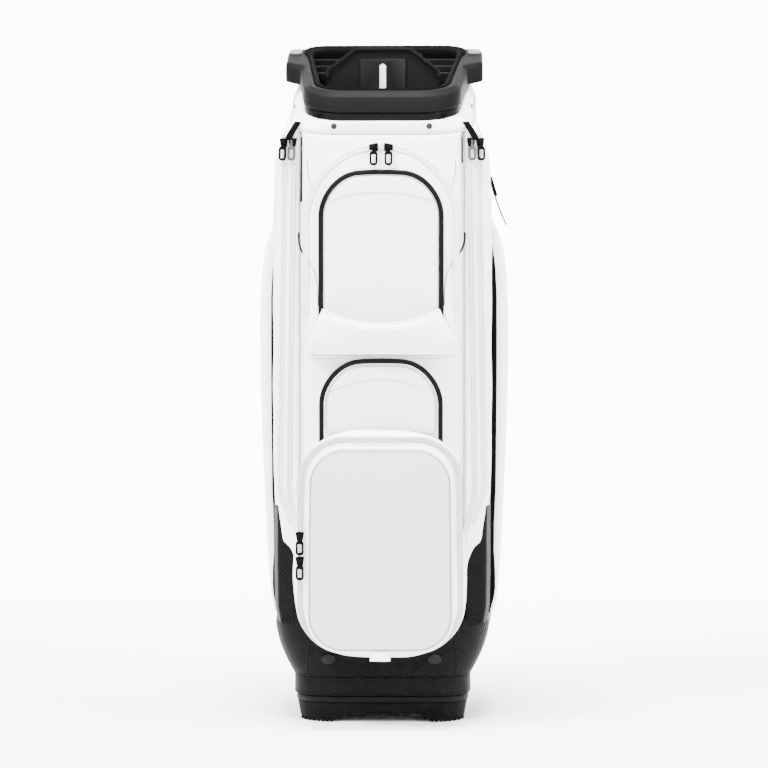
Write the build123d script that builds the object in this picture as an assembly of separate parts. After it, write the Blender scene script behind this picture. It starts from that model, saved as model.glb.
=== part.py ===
# Cart golf bag: moulded top and base, sewn fabric body, zipped pockets.
from build123d import *
import math
import os

# Driving dimensions in mm. The club tube's centre line is x = 0, y = 0 while the
# pieces are made; save() then moves them so that the origin is under the middle.

# slanted top: every band of the top rises towards the rear; heights are at the front
top_slope = 0.32
slope_start_y = -125.0
collar_top = 826.0
collar_low = 800.0
gasket_low = 788.0
cuff_low = 771.5

# base
foot_height = 5.0
arch_height = 10.0
tray_floor = 16.0
tray_top = 26.0
binding_top = 35.0
band_top = 60.0
skirt_top = 128.0

# fabric body
fabric_wall = 4.0
side_x = 120.8
side_pocket_x = 144.0
front_panel_y = -125.0
upper_pocket_y = -146.0
upper_panel_y = -151.5
pouch_y = -186.0
middle_pocket_y = -154.0
lower_pocket_y = -200.0
lower_panel_y = -211.0
front_seam_z = 481.0
spine_y = 128.0
strap_y = 138.0
strap_rear_y = 149.0

# zipper sliders and pulls
slider_width = 11.0
slider_length = 12.0
slider_base = 2.6
pull_width = 10.5
pull_length = 23.0
pull_thickness = 2.2
pin_height = 5.6
pin_radius = 0.9
pin_clearance = 0.1
track_proud = 2.0
track_gap = 0.5
arch_centre_z = 656.0
arch_track_radius = 98.0
arch_slider_x = 9.7
side_track_top = 774.0
side_track_low = 300.0
side_slider_z = 768.0
lower_slider_x = -103.0
lower_slider_z = (258.0, 226.0)

# club dividers
plate_y = -45.0
plate_thickness = 4.0
row_pitch = 37.0
rail_width = 5.0
sheet_thickness = 2.0
loose_gap = 0.2
rib_positions = [(-34.0, 34.0), (-49.0, 0.0, 49.0), (-34.0, 34.0), (-49.0, 0.0, 49.0)]

shift_y = -(lower_panel_y + strap_rear_y) / 2


def save(name, shape):
    os.makedirs("parts", exist_ok=True)
    export_step(Pos(0, shift_y, 0) * shape, f"parts/{name}.step")


def save_pair(name, right_shape):
    save(f"{name}_right", right_shape)
    save(f"{name}_left", mirror(right_shape, about=Plane.YZ))


def group(*shapes):
    """Separate solids that share one node."""
    return Compound(children=[solid for shape in shapes for solid in shape.solids()])


def both_sides(right_shape):
    return group(right_shape, mirror(right_shape, about=Plane.YZ))


def plan_prism(sketch, low, high):
    """Sketch in x, y carried from z = low to z = high."""
    return extrude(Pos(0, 0, low) * sketch, high - low, dir=(0, 0, 1))


def front_prism(sketch, y_front, y_rear):
    """Sketch in x, z carried from y_front to y_rear."""
    return extrude(Pos(0, y_rear, 0) * (Plane.XZ * sketch), y_rear - y_front, dir=(0, -1, 0))


def side_prism(sketch, x_low, x_high):
    """Sketch in y, z carried from x_low to x_high."""
    return extrude(Pos(x_low, 0, 0) * (Plane.YZ * sketch), x_high - x_low, dir=(1, 0, 0))


def rounded(points, radius):
    outline = Polygon(*points, align=None)
    return fillet(outline.vertices(), radius)


def slant_slab(low, high, half=230.0):
    """Space between two slanted planes, named by their heights at the front."""
    rear_rise = top_slope * (half - slope_start_y)
    front_drop = top_slope * (-half - slope_start_y)
    corners = [
        (-half, low + front_drop),
        (half, low + rear_rise),
        (half, high + rear_rise),
        (-half, high + front_drop),
    ]
    return side_prism(Polygon(*corners, align=None), -half, half)


def slant_cut(sketch, low, high):
    """Plan outline cut off between two slanted planes."""
    return plan_prism(sketch, 500, 1000) & slant_slab(low, high)


def rounded_trapezoid(front_half, rear_half, y_low, y_high, r_front, r_rear):
    corners = [(-front_half, y_low), (front_half, y_low), (rear_half, y_high), (-rear_half, y_high)]
    outline = Polygon(*corners, align=None)
    outline = fillet(outline.vertices().group_by(Axis.Y)[0], r_front)
    return fillet(outline.vertices().sort_by(Axis.Y)[-2:], r_rear)


def collar_plan(inset):
    return rounded_trapezoid(
        98.0 - inset, 121.0 - inset, -125.0 + inset, 125.0 - inset, 52.0 - inset, 45.0 - inset
    )


def body_plan(outset):
    return rounded_trapezoid(
        116.0 + outset, 120.0 + outset, -116.0 - outset, 118.0 + outset, 50.0 + outset, 50.0 + outset
    )


def base_plan(outset):
    return rounded_trapezoid(
        110.0 + outset, 112.0 + outset, -112.0 - outset, 114.0 + outset, 46.0 + outset, 46.0 + outset
    )


def arch(half_width, low, top, corner, crown=0.0):
    """Outline with upright legs, rounded upper corners and a crowned top edge."""
    shoulder = top - crown
    left_leg = Line((-half_width, shoulder), (-half_width, low))
    foot = Line((-half_width, low), (half_width, low))
    right_leg = Line((half_width, low), (half_width, shoulder))
    if crown > 0:
        cap = ThreePointArc((half_width, shoulder), (0, top), (-half_width, shoulder))
    else:
        cap = Line((half_width, shoulder), (-half_width, shoulder))
    outline = make_face([left_leg, foot, right_leg, cap])
    return fillet(outline.vertices().sort_by(Axis.Y)[-2:], min(corner, half_width - 0.05))


def soften(solid, radius, axis=Axis.Y, side=0):
    """Round the edges of the face that lies furthest along one axis."""
    return fillet(solid.faces().sort_by(axis)[side].edges(), radius)


# ---- moulded top


def make_collar():
    wall = slant_cut(collar_plan(-2.0) - collar_plan(12.0), collar_low, collar_top - 8.0)
    shoulder = slant_cut(collar_plan(0.0) - collar_plan(12.0), collar_top - 8.0, collar_top - 3.5)
    lip = slant_cut(collar_plan(3.0) - collar_plan(12.0), collar_top - 3.5, collar_top)
    ear = plan_prism(rounded([(100, 14), (134, 42), (134, 104), (100, 122)], 7), 500, 1000)
    ear = (ear - plan_prism(collar_plan(12.0), 500, 1000)) & slant_slab(collar_low + 0.5, collar_top - 1)
    recess = slant_cut(rounded([(118.5, 46), (128.5, 50), (128.5, 97), (118.5, 101)], 2), 600, collar_top - 9)
    collar = wall + shoulder + lip + ear + mirror(ear, about=Plane.YZ)
    return collar - recess - mirror(recess, about=Plane.YZ)


def make_handle_grips():
    outline = rounded([(114, 80), (131, 80), (131, 100), (114, 103)], 6)
    return both_sides(slant_cut(outline, collar_top + 0.1, collar_top + 3.0))


def make_lining():
    return slant_cut(collar_plan(12.1) - collar_plan(20.0), collar_top - 36, collar_top + 1)


def make_putter_plate():
    """Upright plate behind the putter well: cut corners, a lip and a raised middle."""
    corners = [(-74, 812), (74, 812), (76, 861), (37, 891), (-37, 891), (-76, 861)]
    outline = Polygon(*corners, align=None)
    outline = fillet(outline.vertices().sort_by(Axis.Y)[-4:], 5)
    plate = front_prism(outline, plate_y, plate_y + plate_thickness)
    lip_zone = front_prism(Pos(0, 876) * Rectangle(200, 50), plate_y - 5, plate_y + 1)
    lip = front_prism(outline - offset(outline, -4), plate_y - 5, plate_y) & lip_zone
    middle = front_prism(Pos(0, 844) * Rectangle(60, 64), plate_y - 4, plate_y)
    slot = front_prism(Pos(0, 841) * SlotOverall(56, 8.8, rotation=90), plate_y - 6, plate_y - 2)
    return plate + lip + middle - slot


def make_plate_inlay():
    return front_prism(Pos(0, 841) * SlotOverall(55.6, 8.4, rotation=90), plate_y - 4.6, plate_y - 2)


def divider_prisms(width, low, high):
    """Upright prisms of the cross bars and of the ribs between the slots of each row."""
    first = plate_y + plate_thickness
    edges = [first + row_pitch * k for k in range(4)] + [112.0]
    prisms = [plan_prism(Pos(0, y) * Rectangle(260, width), low, high) for y in edges[1:4]]
    for row, ribs in enumerate(rib_positions):
        y_low = edges[row] + (0 if row == 0 else width / 2) + loose_gap
        y_high = edges[row + 1] - (0 if row == 3 else width / 2) - loose_gap
        for x in ribs:
            rib = Pos(x, (y_low + y_high) / 2) * Rectangle(width, y_high - y_low)
            prisms.append(plan_prism(rib, low, high))
    inside = plan_prism(collar_plan(20.1), low, high)
    return [prism & inside for prism in prisms]


def make_divider_rails():
    slab = slant_slab(collar_top - 22, collar_top - 4)
    return group(*[prism & slab for prism in divider_prisms(rail_width, 600, 1000)])


def make_divider_sheets():
    slab = slant_slab(-400, collar_top - 22)
    sheets = [prism & slab for prism in divider_prisms(sheet_thickness, tray_floor + 8, 1000)]
    behind_plate = Pos(0, plate_y + plate_thickness / 2) * Rectangle(148, sheet_thickness)
    sheets.append(plan_prism(behind_plate, tray_floor + 8, 812 - loose_gap))
    return group(*sheets)


def make_gasket():
    return slant_cut(collar_plan(1.0) - collar_plan(8.0), gasket_low, collar_low)


def make_cuff():
    """Wrap that flares from the gasket out to the body."""
    steps = 4
    cuff = None
    for k in range(steps):
        low = cuff_low + (gasket_low - cuff_low) * k / steps
        high = cuff_low + (gasket_low - cuff_low) * (k + 1) / steps
        t = k / (steps - 1)
        outer = rounded_trapezoid(121 - 19 * t, 124 - 3 * t, -121 - 4 * t, 124 + t, 54, 50)
        band = slant_cut(outer - collar_plan(8.2), low, high)
        cuff = band if cuff is None else cuff + band
    return cuff


def make_studs(places, radius, depth, head):
    """Fastener heads on both sides of the top; turn is each one's angle away from the front."""
    studs = []
    for x, y, z, turn in places:
        outward = (math.sin(math.radians(turn)), -math.cos(math.radians(turn)), 0)
        shank = extrude(Plane((x, y, z), z_dir=outward) * Circle(radius), depth, dir=outward)
        far_edge = shank.edges().filter_by(GeomType.CIRCLE).sort_by(lambda edge: edge.center().dot(Vector(*outward)))[-1]
        studs.append(fillet(far_edge, head))
    return both_sides(group(*studs))


# ---- base and inner structure


def make_tray():
    foot_ring = loft([Pos(0, 0, foot_height) * base_plan(-1.5), Pos(0, 0, tray_top) * base_plan(2.5)])
    upper_wall = plan_prism(base_plan(-1.0), tray_top, band_top)
    tray = foot_ring + upper_wall
    tray = tray - plan_prism(base_plan(-5.0), tray_floor, band_top + 1)
    tray = tray - plan_prism(base_plan(-8.0), 0, arch_height)
    span = [(-62, 0), (62, 0), (48, arch_height), (-48, arch_height)]
    tray = tray - front_prism(Polygon(*span, align=None), -200, 200)
    return tray - side_prism(Polygon(*span, align=None), -200, 200)


def make_feet():
    """Four ribbed corner pads under the tray's rim."""
    ring = plan_prism(base_plan(-2.0) - base_plan(-24.0), 0, foot_height)
    corner = plan_prism(Pos(92, 92) * Rectangle(60, 60), 0, foot_height)
    grooves = Part()
    for k in range(-22, 23):
        grooves += Pos(6.0 * k + 3.0, 0, 0) * Box(2.2, 300, 4.4)
    pads = []
    for x_side in (1, -1):
        for y_side in (1, -1):
            cut = ring & Pos(92 * x_side - 92, 92 * y_side - 92, 0) * corner
            pads.append(cut - grooves)
    return pads


rod_places = [(82, -88), (98, 84)]


def make_rods(radius=3.5):
    """Stays from the tray's floor to the lining."""
    rods = []
    for x, y in rod_places:
        rod = plan_prism(Pos(x, y) * Circle(radius), tray_floor, 1000)
        rods.append(both_sides(rod & slant_slab(-400, collar_top - 36.5)))
    return group(*rods)


def make_floor_pad():
    return plan_prism(base_plan(-5.5), tray_floor, tray_floor + 7) - make_rods(4.0)


def make_main_shell():
    shell = plan_prism(body_plan(0) - body_plan(-fabric_wall), band_top + 0.4, 1000)
    return shell & slant_slab(-400, cuff_low - 0.4)


def make_skirt():
    outer = loft([
        Pos(0, 0, band_top + 0.3) * base_plan(6.0),
        Pos(0, 0, skirt_top) * rounded_trapezoid(134, 148, -124.8, 124, 60, 44),
    ])
    return outer - plan_prism(body_plan(0.3), 0, 200)


# ---- front pockets


def wrap_panel(low, high):
    """Padded sheet round the front of the tube, between the side pockets."""
    outer = rounded_trapezoid(125, 125, -125, 118, 58, 50)
    sheet = plan_prism(outer - body_plan(0.3), low, high)
    front = plan_prism(Pos(0, -140) * Rectangle(208, 110), low, high)
    return sheet & front & slant_slab(-400, cuff_low - 0.6)


def make_upper_pocket():
    body = front_prism(arch(103, 487, 760, 102), upper_pocket_y, front_panel_y - 0.3)
    return soften(body, 5)


def make_upper_panel():
    panel = front_prism(arch(74.6, 492, 717.6, 47, 7), upper_panel_y, upper_pocket_y)
    return soften(panel, 5)


def make_upper_piping():
    ring = arch(81.5, 492, 724.5, 52, 7) - arch(75, 480, 718, 47, 7)
    return front_prism(ring, upper_panel_y - 1, upper_pocket_y - 0.1)


def make_middle_piping():
    ring = arch(80.5, 300, 480, 52, 7) - arch(74, 290, 473.5, 47, 7)
    return front_prism(ring, middle_pocket_y - 2, front_panel_y - 0.3) - lower_pocket_room()


def lower_pocket_outline(outset):
    half = 110.0 + outset
    shape = Polygon(
        (-half + 4, 97 - outset), (half - 4, 97 - outset), (half + 1, 180),
        (100 + outset, 383 + outset), (-100 - outset, 383 + outset), (-half - 1, 180), align=None,
    )
    shape = fillet(shape.vertices().sort_by(Axis.Y)[:2], 66)
    return fillet(shape.vertices().sort_by(Axis.Y)[-2:], 55)


def lower_pocket_room():
    return front_prism(lower_pocket_outline(0.5), lower_panel_y, front_panel_y)


def make_lower_pocket():
    body = soften(front_prism(lower_pocket_outline(0), lower_pocket_y, front_panel_y - 0.3), 6)
    tab = front_prism(Pos(0, 98) * Rectangle(26, 12), lower_pocket_y - 3, lower_pocket_y + 8)
    return body + tab


def make_lower_panel():
    outline = fillet(Polygon((-92.5, 105), (92.5, 105), (90, 363), (-90, 363), align=None).vertices(), 45)
    return soften(front_prism(outline, lower_panel_y, lower_pocket_y), 6)


def make_lower_track():
    strip = Pos(-lower_slider_x, 225) * Rectangle(6.5, 190)
    right = front_prism(strip, lower_pocket_y - track_proud, lower_pocket_y)
    return both_sides(right)


def make_middle_pocket():
    body = front_prism(arch(73.6, 300, 473.1, 46.6, 7), middle_pocket_y, front_panel_y - 0.3)
    return soften(body, 5) - lower_pocket_room()


def make_pouch():
    """Open-topped drop pouch with a sagging mouth."""
    rim = ThreePointArc((-76, 544), (0, 524), (76, 544))
    walls = Polyline((76, 544), (95, 502), (88, 485), (-88, 485), (-95, 502), (-76, 544))
    outline = make_face(rim.edges() + walls.edges())
    body = front_prism(outline, pouch_y, upper_panel_y - 2.3)
    body = fillet(body.faces().sort_by(Axis.Y)[0].edges().filter_by(Axis.X), 9)
    hollow = front_prism(Pos(0, 524) * Rectangle(140, 70), pouch_y + 3, upper_panel_y - 5.3)
    return body - hollow


# ---- side pockets, made for the right side (+x)

face_start = (106.5, -104.0)
face_end = (138.0, -94.0)
face_angle = math.degrees(math.atan2(face_end[1] - face_start[1], face_end[0] - face_start[0]))


def face_plane(u, z, tilt=0.0):
    """Plane on the side pocket's front face; x across it, y up, z out of the bag."""
    slope = math.radians(face_angle)
    origin = (
        face_start[0] + u * math.cos(slope),
        face_start[1] + u * math.sin(slope),
        z,
    )
    across = Vector(math.cos(slope), math.sin(slope), 0)
    outward = Vector(math.sin(slope), -math.cos(slope), 0)
    lean = across * math.cos(math.radians(tilt)) - Vector(0, 0, 1) * math.sin(math.radians(tilt))
    return Plane(origin, x_dir=lean, z_dir=outward)


track_u = (9.5, 22.0)
track_drift = 8.0
track_tilt = -math.degrees(math.atan(track_drift / (side_track_top - side_track_low)))


def make_side_pocket():
    corners = [(104.8, -60), face_start, face_end, (side_pocket_x, -74), (side_pocket_x, 8), (104.8, 8)]
    plan = Polygon(*corners, align=None)
    body = plan_prism(plan - body_plan(0.5), 188, 820) & slant_slab(-400, cuff_low - 0.6)
    upper_edge = [(90, 820), (121, 820), (127, 785), (136, 762), (142, 744), (145, 690)]
    lower_edge = [(145, 300), (141, 240), (118, 189), (90, 189)]
    outline = Polygon(*upper_edge, *lower_edge, align=None)
    return body & front_prism(outline, -150, 50)


def make_side_tracks():
    length = side_track_top - side_track_low
    strips = []
    for u in track_u:
        middle = u + track_drift / 2
        strip = face_plane(middle, side_track_low + length / 2, track_tilt) * Pos(0, 0, 0.1)
        strips.append(extrude(strip * Rectangle(6.5, length), track_proud))
    pair = group(*strips)
    return group(pair, mirror(pair, about=Plane.YZ))


def make_gusset():
    lower_edge = [(side_x, 130), (146, 130), (151, 165), (149, 215)]
    upper_edge = [(152, 300), (153, 560), (146, 640), (130, 690), (side_x, 700)]
    outline = Polygon(*lower_edge, *upper_edge, align=None)
    return front_prism(outline, 9.5, 22.5)


def make_rear_pocket():
    outer = Spline((150, 131), (160, 260), (168.5, 470), (163, 620), (140, 672))
    walls = Polyline((140, 672), (108, 680), (108, 131), (150, 131))
    side = front_prism(make_face(outer.edges() + walls.edges()), 23.5, 114)
    plan = rounded([(100, 23.5), (168.5, 23.5), (168.5, 92), (150, 114), (100, 114)], 9)
    return (side & plan_prism(plan, 100, 700)) - plan_prism(body_plan(0.5), 0, 900)


def make_lower_side():
    corners = [(104.8, -60), (106.5, -103), (137.5, -93), (143.5, -73.5), (143.5, 8), (104.8, 8)]
    plan = Polygon(*corners, align=None)
    body = plan_prism(plan - body_plan(0.5), 129, 290)
    outline = Polygon((100, 129), (138, 129), (144, 150), (144, 283), (141, 237), (118, 186), (100, 186), align=None)
    return body & front_prism(outline, -150, 50)


# ---- rear


def make_spine_panel():
    panel = front_prism(fillet(Rectangle(104, 620).vertices(), 18), 118.4, spine_y)
    return soften(Pos(0, 0, 445) * panel, 4, Axis.Y, -1)


def make_rear_handle():
    path = FilletPolyline(
        (0, spine_y - 1, 320), (0, spine_y + 16, 332), (0, spine_y + 16, 448), (0, spine_y - 1, 460), radius=9
    )
    grip = sweep(path.location_at(0) * Rectangle(30, 5, rotation=90), path=path)
    return grip - make_spine_panel()


def make_strap():
    """Padded shoulder strap that hangs across the back."""
    upper = ThreePointArc((-118, 716), (0, 648), (118, 716))
    lower = ThreePointArc((118, 668), (0, 584), (-118, 668))
    right = Line((118, 716), (118, 668))
    left = Line((-118, 668), (-118, 716))
    band = make_face([upper, right, lower, left])
    return front_prism(band, strap_y, strap_rear_y)


def make_webbing():
    """Strap ends that come round the sides to the ladder locks."""
    rear = front_prism(Pos(123.1, 692) * Rectangle(9.8, 25), 142.5, 144.5)
    side = side_prism(Pos(100, 692) * Rectangle(85, 25), 126.6, 128.6)
    hanger = side_prism(Pos(46, 733) * Rectangle(22, 78), 126.6, 128.6)
    return both_sides(group(rear, side, hanger))


# ---- sliders and pulls: made at the origin, x across, y along the track, z out of the bag


def slider_shape(turn=0.0):
    """Slider body with a bridge pin; turn lays the body across the hanging pull."""
    half = slider_width / 2
    middle = slider_length / 2
    outline = Polygon(
        (-half, middle), (-half, middle - 3), (-3.6, -middle), (3.6, -middle),
        (half, middle - 3), (half, middle), align=None,
    )
    plate = extrude(fillet(outline.vertices(), 1.2), slider_base, dir=(0, 0, 1))
    base = Pos(0, -middle, 0) * Rot(0, 0, turn) * plate
    cheeks = Pos(0, -5, slider_base) * Box(7, 4.6, 4.2, align=(Align.CENTER, Align.CENTER, Align.MIN))
    slot = Pos(0, -5, slider_base) * Box(3.4, 6, 6, align=(Align.CENTER, Align.CENTER, Align.MIN))
    pin = Pos(0, -5, pin_height) * Rot(0, 90, 0) * Cylinder(pin_radius, 5)
    return base + (cheeks - slot) + pin


def pull_shape():
    """Moulded pull with a window; it hangs from the slider's pin."""
    eye = Rot(0, 90, 0) * Cylinder(1.8, 2.8)
    neck = Pos(0, -4.5, 0) * Box(2.8, 9, pull_thickness)
    body_centre = -4.0 - pull_length / 2
    outline = Pos(0, body_centre) * RectangleRounded(pull_width, pull_length - 4, 4.4)
    window = Pos(0, body_centre - 0.5) * RectangleRounded(5.2, 11, 1.2)
    body = Pos(0, 0, -pull_thickness / 2) * extrude(outline - window, pull_thickness, dir=(0, 0, 1))
    bore = Rot(0, 90, 0) * Cylinder(pin_radius + pin_clearance, 10)
    return Pos(0, -5, pin_height) * (eye + neck + body - bore)


def place_zipper(name, place, turn=0.0):
    """One slider and its pull on a track's plane."""
    lifted = place.location * Pos(0, 0, track_proud + track_gap)
    save(f"{name}_slider", lifted * slider_shape(turn))
    save(f"{name}_pull", lifted * pull_shape())


def front_plane(x, y, z):
    return Plane((x, y, z), x_dir=(1, 0, 0), z_dir=(0, -1, 0))


def make_arch_track():
    outer = Pos(0, arch_centre_z) * Circle(arch_track_radius + 3.3)
    inner = Pos(0, arch_centre_z) * Circle(arch_track_radius - 3.3)
    upper = (outer - inner) & (Pos(0, arch_centre_z + 100) * Rectangle(240, 200))
    leg = Pos(arch_track_radius, arch_centre_z - 60) * Rectangle(6.6, 120)
    other = Pos(-arch_track_radius, arch_centre_z - 60) * Rectangle(6.6, 120)
    return front_prism(upper + leg + other, upper_pocket_y - track_proud, upper_pocket_y)


def mirrored_plane(plane):
    """The same place on the left side, still right-handed."""
    return Plane(
        (-plane.origin.X, plane.origin.Y, plane.origin.Z),
        x_dir=(plane.x_dir.X, -plane.x_dir.Y, -plane.x_dir.Z),
        z_dir=(-plane.z_dir.X, plane.z_dir.Y, plane.z_dir.Z),
    )


def save_zippers():
    arch_z = arch_centre_z + math.sqrt(arch_track_radius**2 - arch_slider_x**2)
    for name, side in (("upper_right", 1), ("upper_left", -1)):
        place = front_plane(side * arch_slider_x, upper_pocket_y, arch_z + slider_length / 2)
        place_zipper(name, place, 90 * side)
    for name, z in zip(("lower_top", "lower_bottom"), lower_slider_z):
        place_zipper(name, front_plane(lower_slider_x, lower_pocket_y, z))
    for name, u in zip(("side_front", "side_rear"), track_u):
        drift = track_drift * (side_track_top - side_slider_z) / (side_track_top - side_track_low)
        right = face_plane(u + drift, side_slider_z, track_tilt)
        place_zipper(f"{name}_right", right)
        place_zipper(f"{name}_left", mirrored_plane(right))


save("top_collar", make_collar())
save("handle_grips", make_handle_grips())
save("collar_lining", make_lining())
save("putter_plate", make_putter_plate())
save("plate_inlay", make_plate_inlay())
save("divider_rails", make_divider_rails())
save("divider_sheets", make_divider_sheets())
save("gasket", make_gasket())
rivets = make_studs([(62, -123.8, 782, 12), (117.8, -16, 814, 86)], 4.0, 2.0, 0.6)
save("cuff", make_cuff() - rivets)
save("cuff_rivets", rivets)
save("cuff_snaps", make_studs([(81.2, -114.1, 797, 39)], 4.0, 3.0, 1.2))

save("base_tray", make_tray())
save("base_feet", group(*make_feet()))
save("base_binding", plan_prism(base_plan(3.5) - base_plan(-0.9), tray_top + 0.1, binding_top))
save("base_band", plan_prism(base_plan(6.0) - base_plan(-0.9), binding_top + 0.1, band_top))
save("stay_rods", make_rods())
save("floor_pad", make_floor_pad())
save("main_shell", make_main_shell())
save("lower_skirt", make_skirt())
badge = Pos(70, -121.1, 84) * Rot(90, 0, 0) * extrude(Ellipse(9, 6), 2.0)
save("skirt_badges", both_sides(badge))

save("upper_front_panel", wrap_panel(front_seam_z + 0.5, 800))
save("upper_pocket", make_upper_pocket())
save("upper_pocket_panel", make_upper_panel())
save("upper_track", make_arch_track())
save("drop_pouch", make_pouch())
save("lower_front_panel", wrap_panel(skirt_top + 1, front_seam_z))
save("middle_pocket", make_middle_pocket())
save("pocket_piping", group(make_upper_piping(), make_middle_piping()))
save("lower_pocket", make_lower_pocket())
save("lower_pocket_panel", make_lower_panel())
save("lower_track", make_lower_track())

save_pair("side_pocket", make_side_pocket())
save("side_tracks", make_side_tracks())
save("gusset_strips", both_sides(make_gusset()))
save_pair("rear_pocket", make_rear_pocket())
save_pair("lower_side", make_lower_side())

save("spine_panel", make_spine_panel())
save("rear_handle", make_rear_handle())
save("shoulder_strap", make_strap())
save("strap_webbing", make_webbing())
buckle = side_prism(Pos(46, 700) * (RectangleRounded(30, 34, 4) - RectangleRounded(23, 8, 1)), 128.8, 132.8)
save("strap_buckles", both_sides(buckle))
save_zippers()
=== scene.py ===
import math
import bmesh
import bpy
import numpy as np
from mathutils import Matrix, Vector
from mathutils.bvhtree import BVHTree


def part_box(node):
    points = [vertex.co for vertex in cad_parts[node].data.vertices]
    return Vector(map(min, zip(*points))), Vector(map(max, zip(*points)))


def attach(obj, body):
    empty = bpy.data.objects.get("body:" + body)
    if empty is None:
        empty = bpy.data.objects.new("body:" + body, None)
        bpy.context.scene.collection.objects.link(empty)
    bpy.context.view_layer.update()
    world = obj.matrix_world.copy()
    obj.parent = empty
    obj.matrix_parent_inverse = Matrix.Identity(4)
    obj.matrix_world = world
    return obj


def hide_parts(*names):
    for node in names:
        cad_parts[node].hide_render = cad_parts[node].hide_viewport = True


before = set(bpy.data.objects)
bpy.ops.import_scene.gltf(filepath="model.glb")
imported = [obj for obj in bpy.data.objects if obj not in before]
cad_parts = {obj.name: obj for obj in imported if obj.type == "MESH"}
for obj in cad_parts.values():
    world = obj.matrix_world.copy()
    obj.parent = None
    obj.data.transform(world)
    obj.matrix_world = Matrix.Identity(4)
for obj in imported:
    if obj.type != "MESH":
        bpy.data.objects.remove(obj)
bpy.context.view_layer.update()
print("frame loaded:", len(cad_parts), "nodes")

mm = 0.001
tau = 2 * math.pi

# the club tube's centre line stands a little behind the bag's middle
tubeLow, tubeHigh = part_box("main_shell")
tubeY = (tubeLow[1] + tubeHigh[1]) / 2 - mm
topSlope = 0.32
slopeStart = -125.0


# outlines and meshes: lengths in mm, measured from the tube's centre line

def roundedOutline(corners, radii, arcSteps=12, edgeSteps=12):
    # each corner becomes an arc of its radius, each edge between arcs is split evenly
    corners = np.asarray(corners, float)
    count = len(corners)
    arcs = []
    for k in range(count):
        before, here, after = corners[k - 1], corners[k], corners[(k + 1) % count]
        toBefore = (before - here) / np.linalg.norm(before - here)
        toAfter = (after - here) / np.linalg.norm(after - here)
        half = math.acos(np.clip(toBefore @ toAfter, -1, 1)) / 2
        radius = max(radii[k % len(radii)], 0.01)
        start = here + toBefore * radius / math.tan(half)
        middle = here + (toBefore + toAfter) / np.linalg.norm(toBefore + toAfter) * radius / math.sin(half)
        end = here + toAfter * radius / math.tan(half)
        a0 = math.atan2(*(start - middle)[::-1])
        turn = (math.atan2(*(end - middle)[::-1]) - a0 + math.pi) % tau - math.pi
        angles = a0 + turn * np.linspace(0, 1, arcSteps)
        arcs.append(middle + radius * np.stack([np.cos(angles), np.sin(angles)], 1))
    pieces = []
    for k in range(count):
        pieces.append(arcs[k])
        t = np.linspace(0, 1, edgeSteps + 1)[1:-1, None]
        pieces.append(arcs[k][-1] * (1 - t) + arcs[(k + 1) % count][0] * t)
    return np.concatenate(pieces)


def trapezoid(frontHalf, rearHalf, yLow, yHigh, frontRadius, rearRadius, arcSteps=16, edgeSteps=24):
    corners = [(-frontHalf, yLow), (frontHalf, yLow), (rearHalf, yHigh), (-rearHalf, yHigh)]
    return roundedOutline(corners, [frontRadius, frontRadius, rearRadius, rearRadius], arcSteps, edgeSteps)


def collarLoop(inset, *steps):
    return trapezoid(98 - inset, 121 - inset, -125 + inset, 125 - inset, 52 - inset, 45 - inset, *steps)


def bodyLoop(outset, *steps):
    return trapezoid(116 + outset, 120 + outset, -116 - outset, 118 + outset, 50 + outset, 50 + outset, *steps)


def baseLoop(outset):
    return trapezoid(110 + outset, 112 + outset, -112 - outset, 114 + outset, 46 + outset, 46 + outset)


def slantHeight(height, y):
    return height + topSlope * (y - slopeStart)


def ringPoints(loops, heights, slanted=False):
    # loop k lifted to height k, or to the slanted plane of that height
    rows = []
    for loop, height in zip(loops, heights):
        z = slantHeight(height, loop[:, 1]) if slanted else np.full(len(loop), float(height))
        rows.append(np.column_stack([loop, z]))
    return np.array(rows)


def ringPath(loop, height, slanted=True):
    return ringPoints([loop], [height], slanted)[0]


def atDepth(x, y, z):
    # points of a line that lies at one depth
    return np.column_stack([x, np.full(len(x), float(y)), z])


def toScene(points):
    return np.asarray(points, float) * mm + np.array([0, tubeY, 0])


def addObject(name, data):
    thing = bpy.data.objects.new(name, data)
    bpy.context.scene.collection.objects.link(thing)
    return thing


def shadeSmooth(mesh):
    mesh.polygons.foreach_set("use_smooth", np.ones(len(mesh.polygons), bool))


def gridMesh(name, points, wrapAcross=False, wrapAlong=False, closed=False):
    # rows x columns of points become quads; the UV map holds metres along both ways
    rows, columns = points.shape[:2]
    lastRow = rows if wrapAlong else rows - 1
    lastColumn = columns if wrapAcross else columns - 1
    i, j = np.meshgrid(np.arange(lastRow), np.arange(lastColumn), indexing="ij")
    i, j = i.ravel(), j.ravel()
    iNext, jNext = (i + 1) % rows, (j + 1) % columns
    faces = np.stack([i * columns + j, i * columns + jNext, iNext * columns + jNext, iNext * columns + j], 1)
    mesh = bpy.data.meshes.new(name)
    mesh.from_pydata(toScene(points.reshape(-1, 3)).tolist(), [], faces.tolist())
    across = np.linalg.norm(np.diff(points[rows // 2], axis=0), axis=1)
    along = np.linalg.norm(np.diff(points[:, columns // 2], axis=0), axis=1)
    u = np.concatenate([[0], np.cumsum(across), [np.sum(across) + across[-1]]]) * mm
    v = np.concatenate([[0], np.cumsum(along), [np.sum(along) + along[-1]]]) * mm
    uv = np.stack([
        np.stack([u[j], v[i]], 1), np.stack([u[j + 1], v[i]], 1),
        np.stack([u[j + 1], v[i + 1]], 1), np.stack([u[j], v[i + 1]], 1),
    ], 1)
    mesh.uv_layers.new(name="UVMap").data.foreach_set("uv", uv.ravel())
    shadeSmooth(mesh)
    if closed:
        work = bmesh.new()
        work.from_mesh(mesh)
        bmesh.ops.remove_doubles(work, verts=work.verts, dist=2e-6)
        bmesh.ops.recalc_face_normals(work, faces=work.faces)
        work.to_mesh(mesh)
        work.free()
    mesh.update()
    return addObject(name, mesh)


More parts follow.
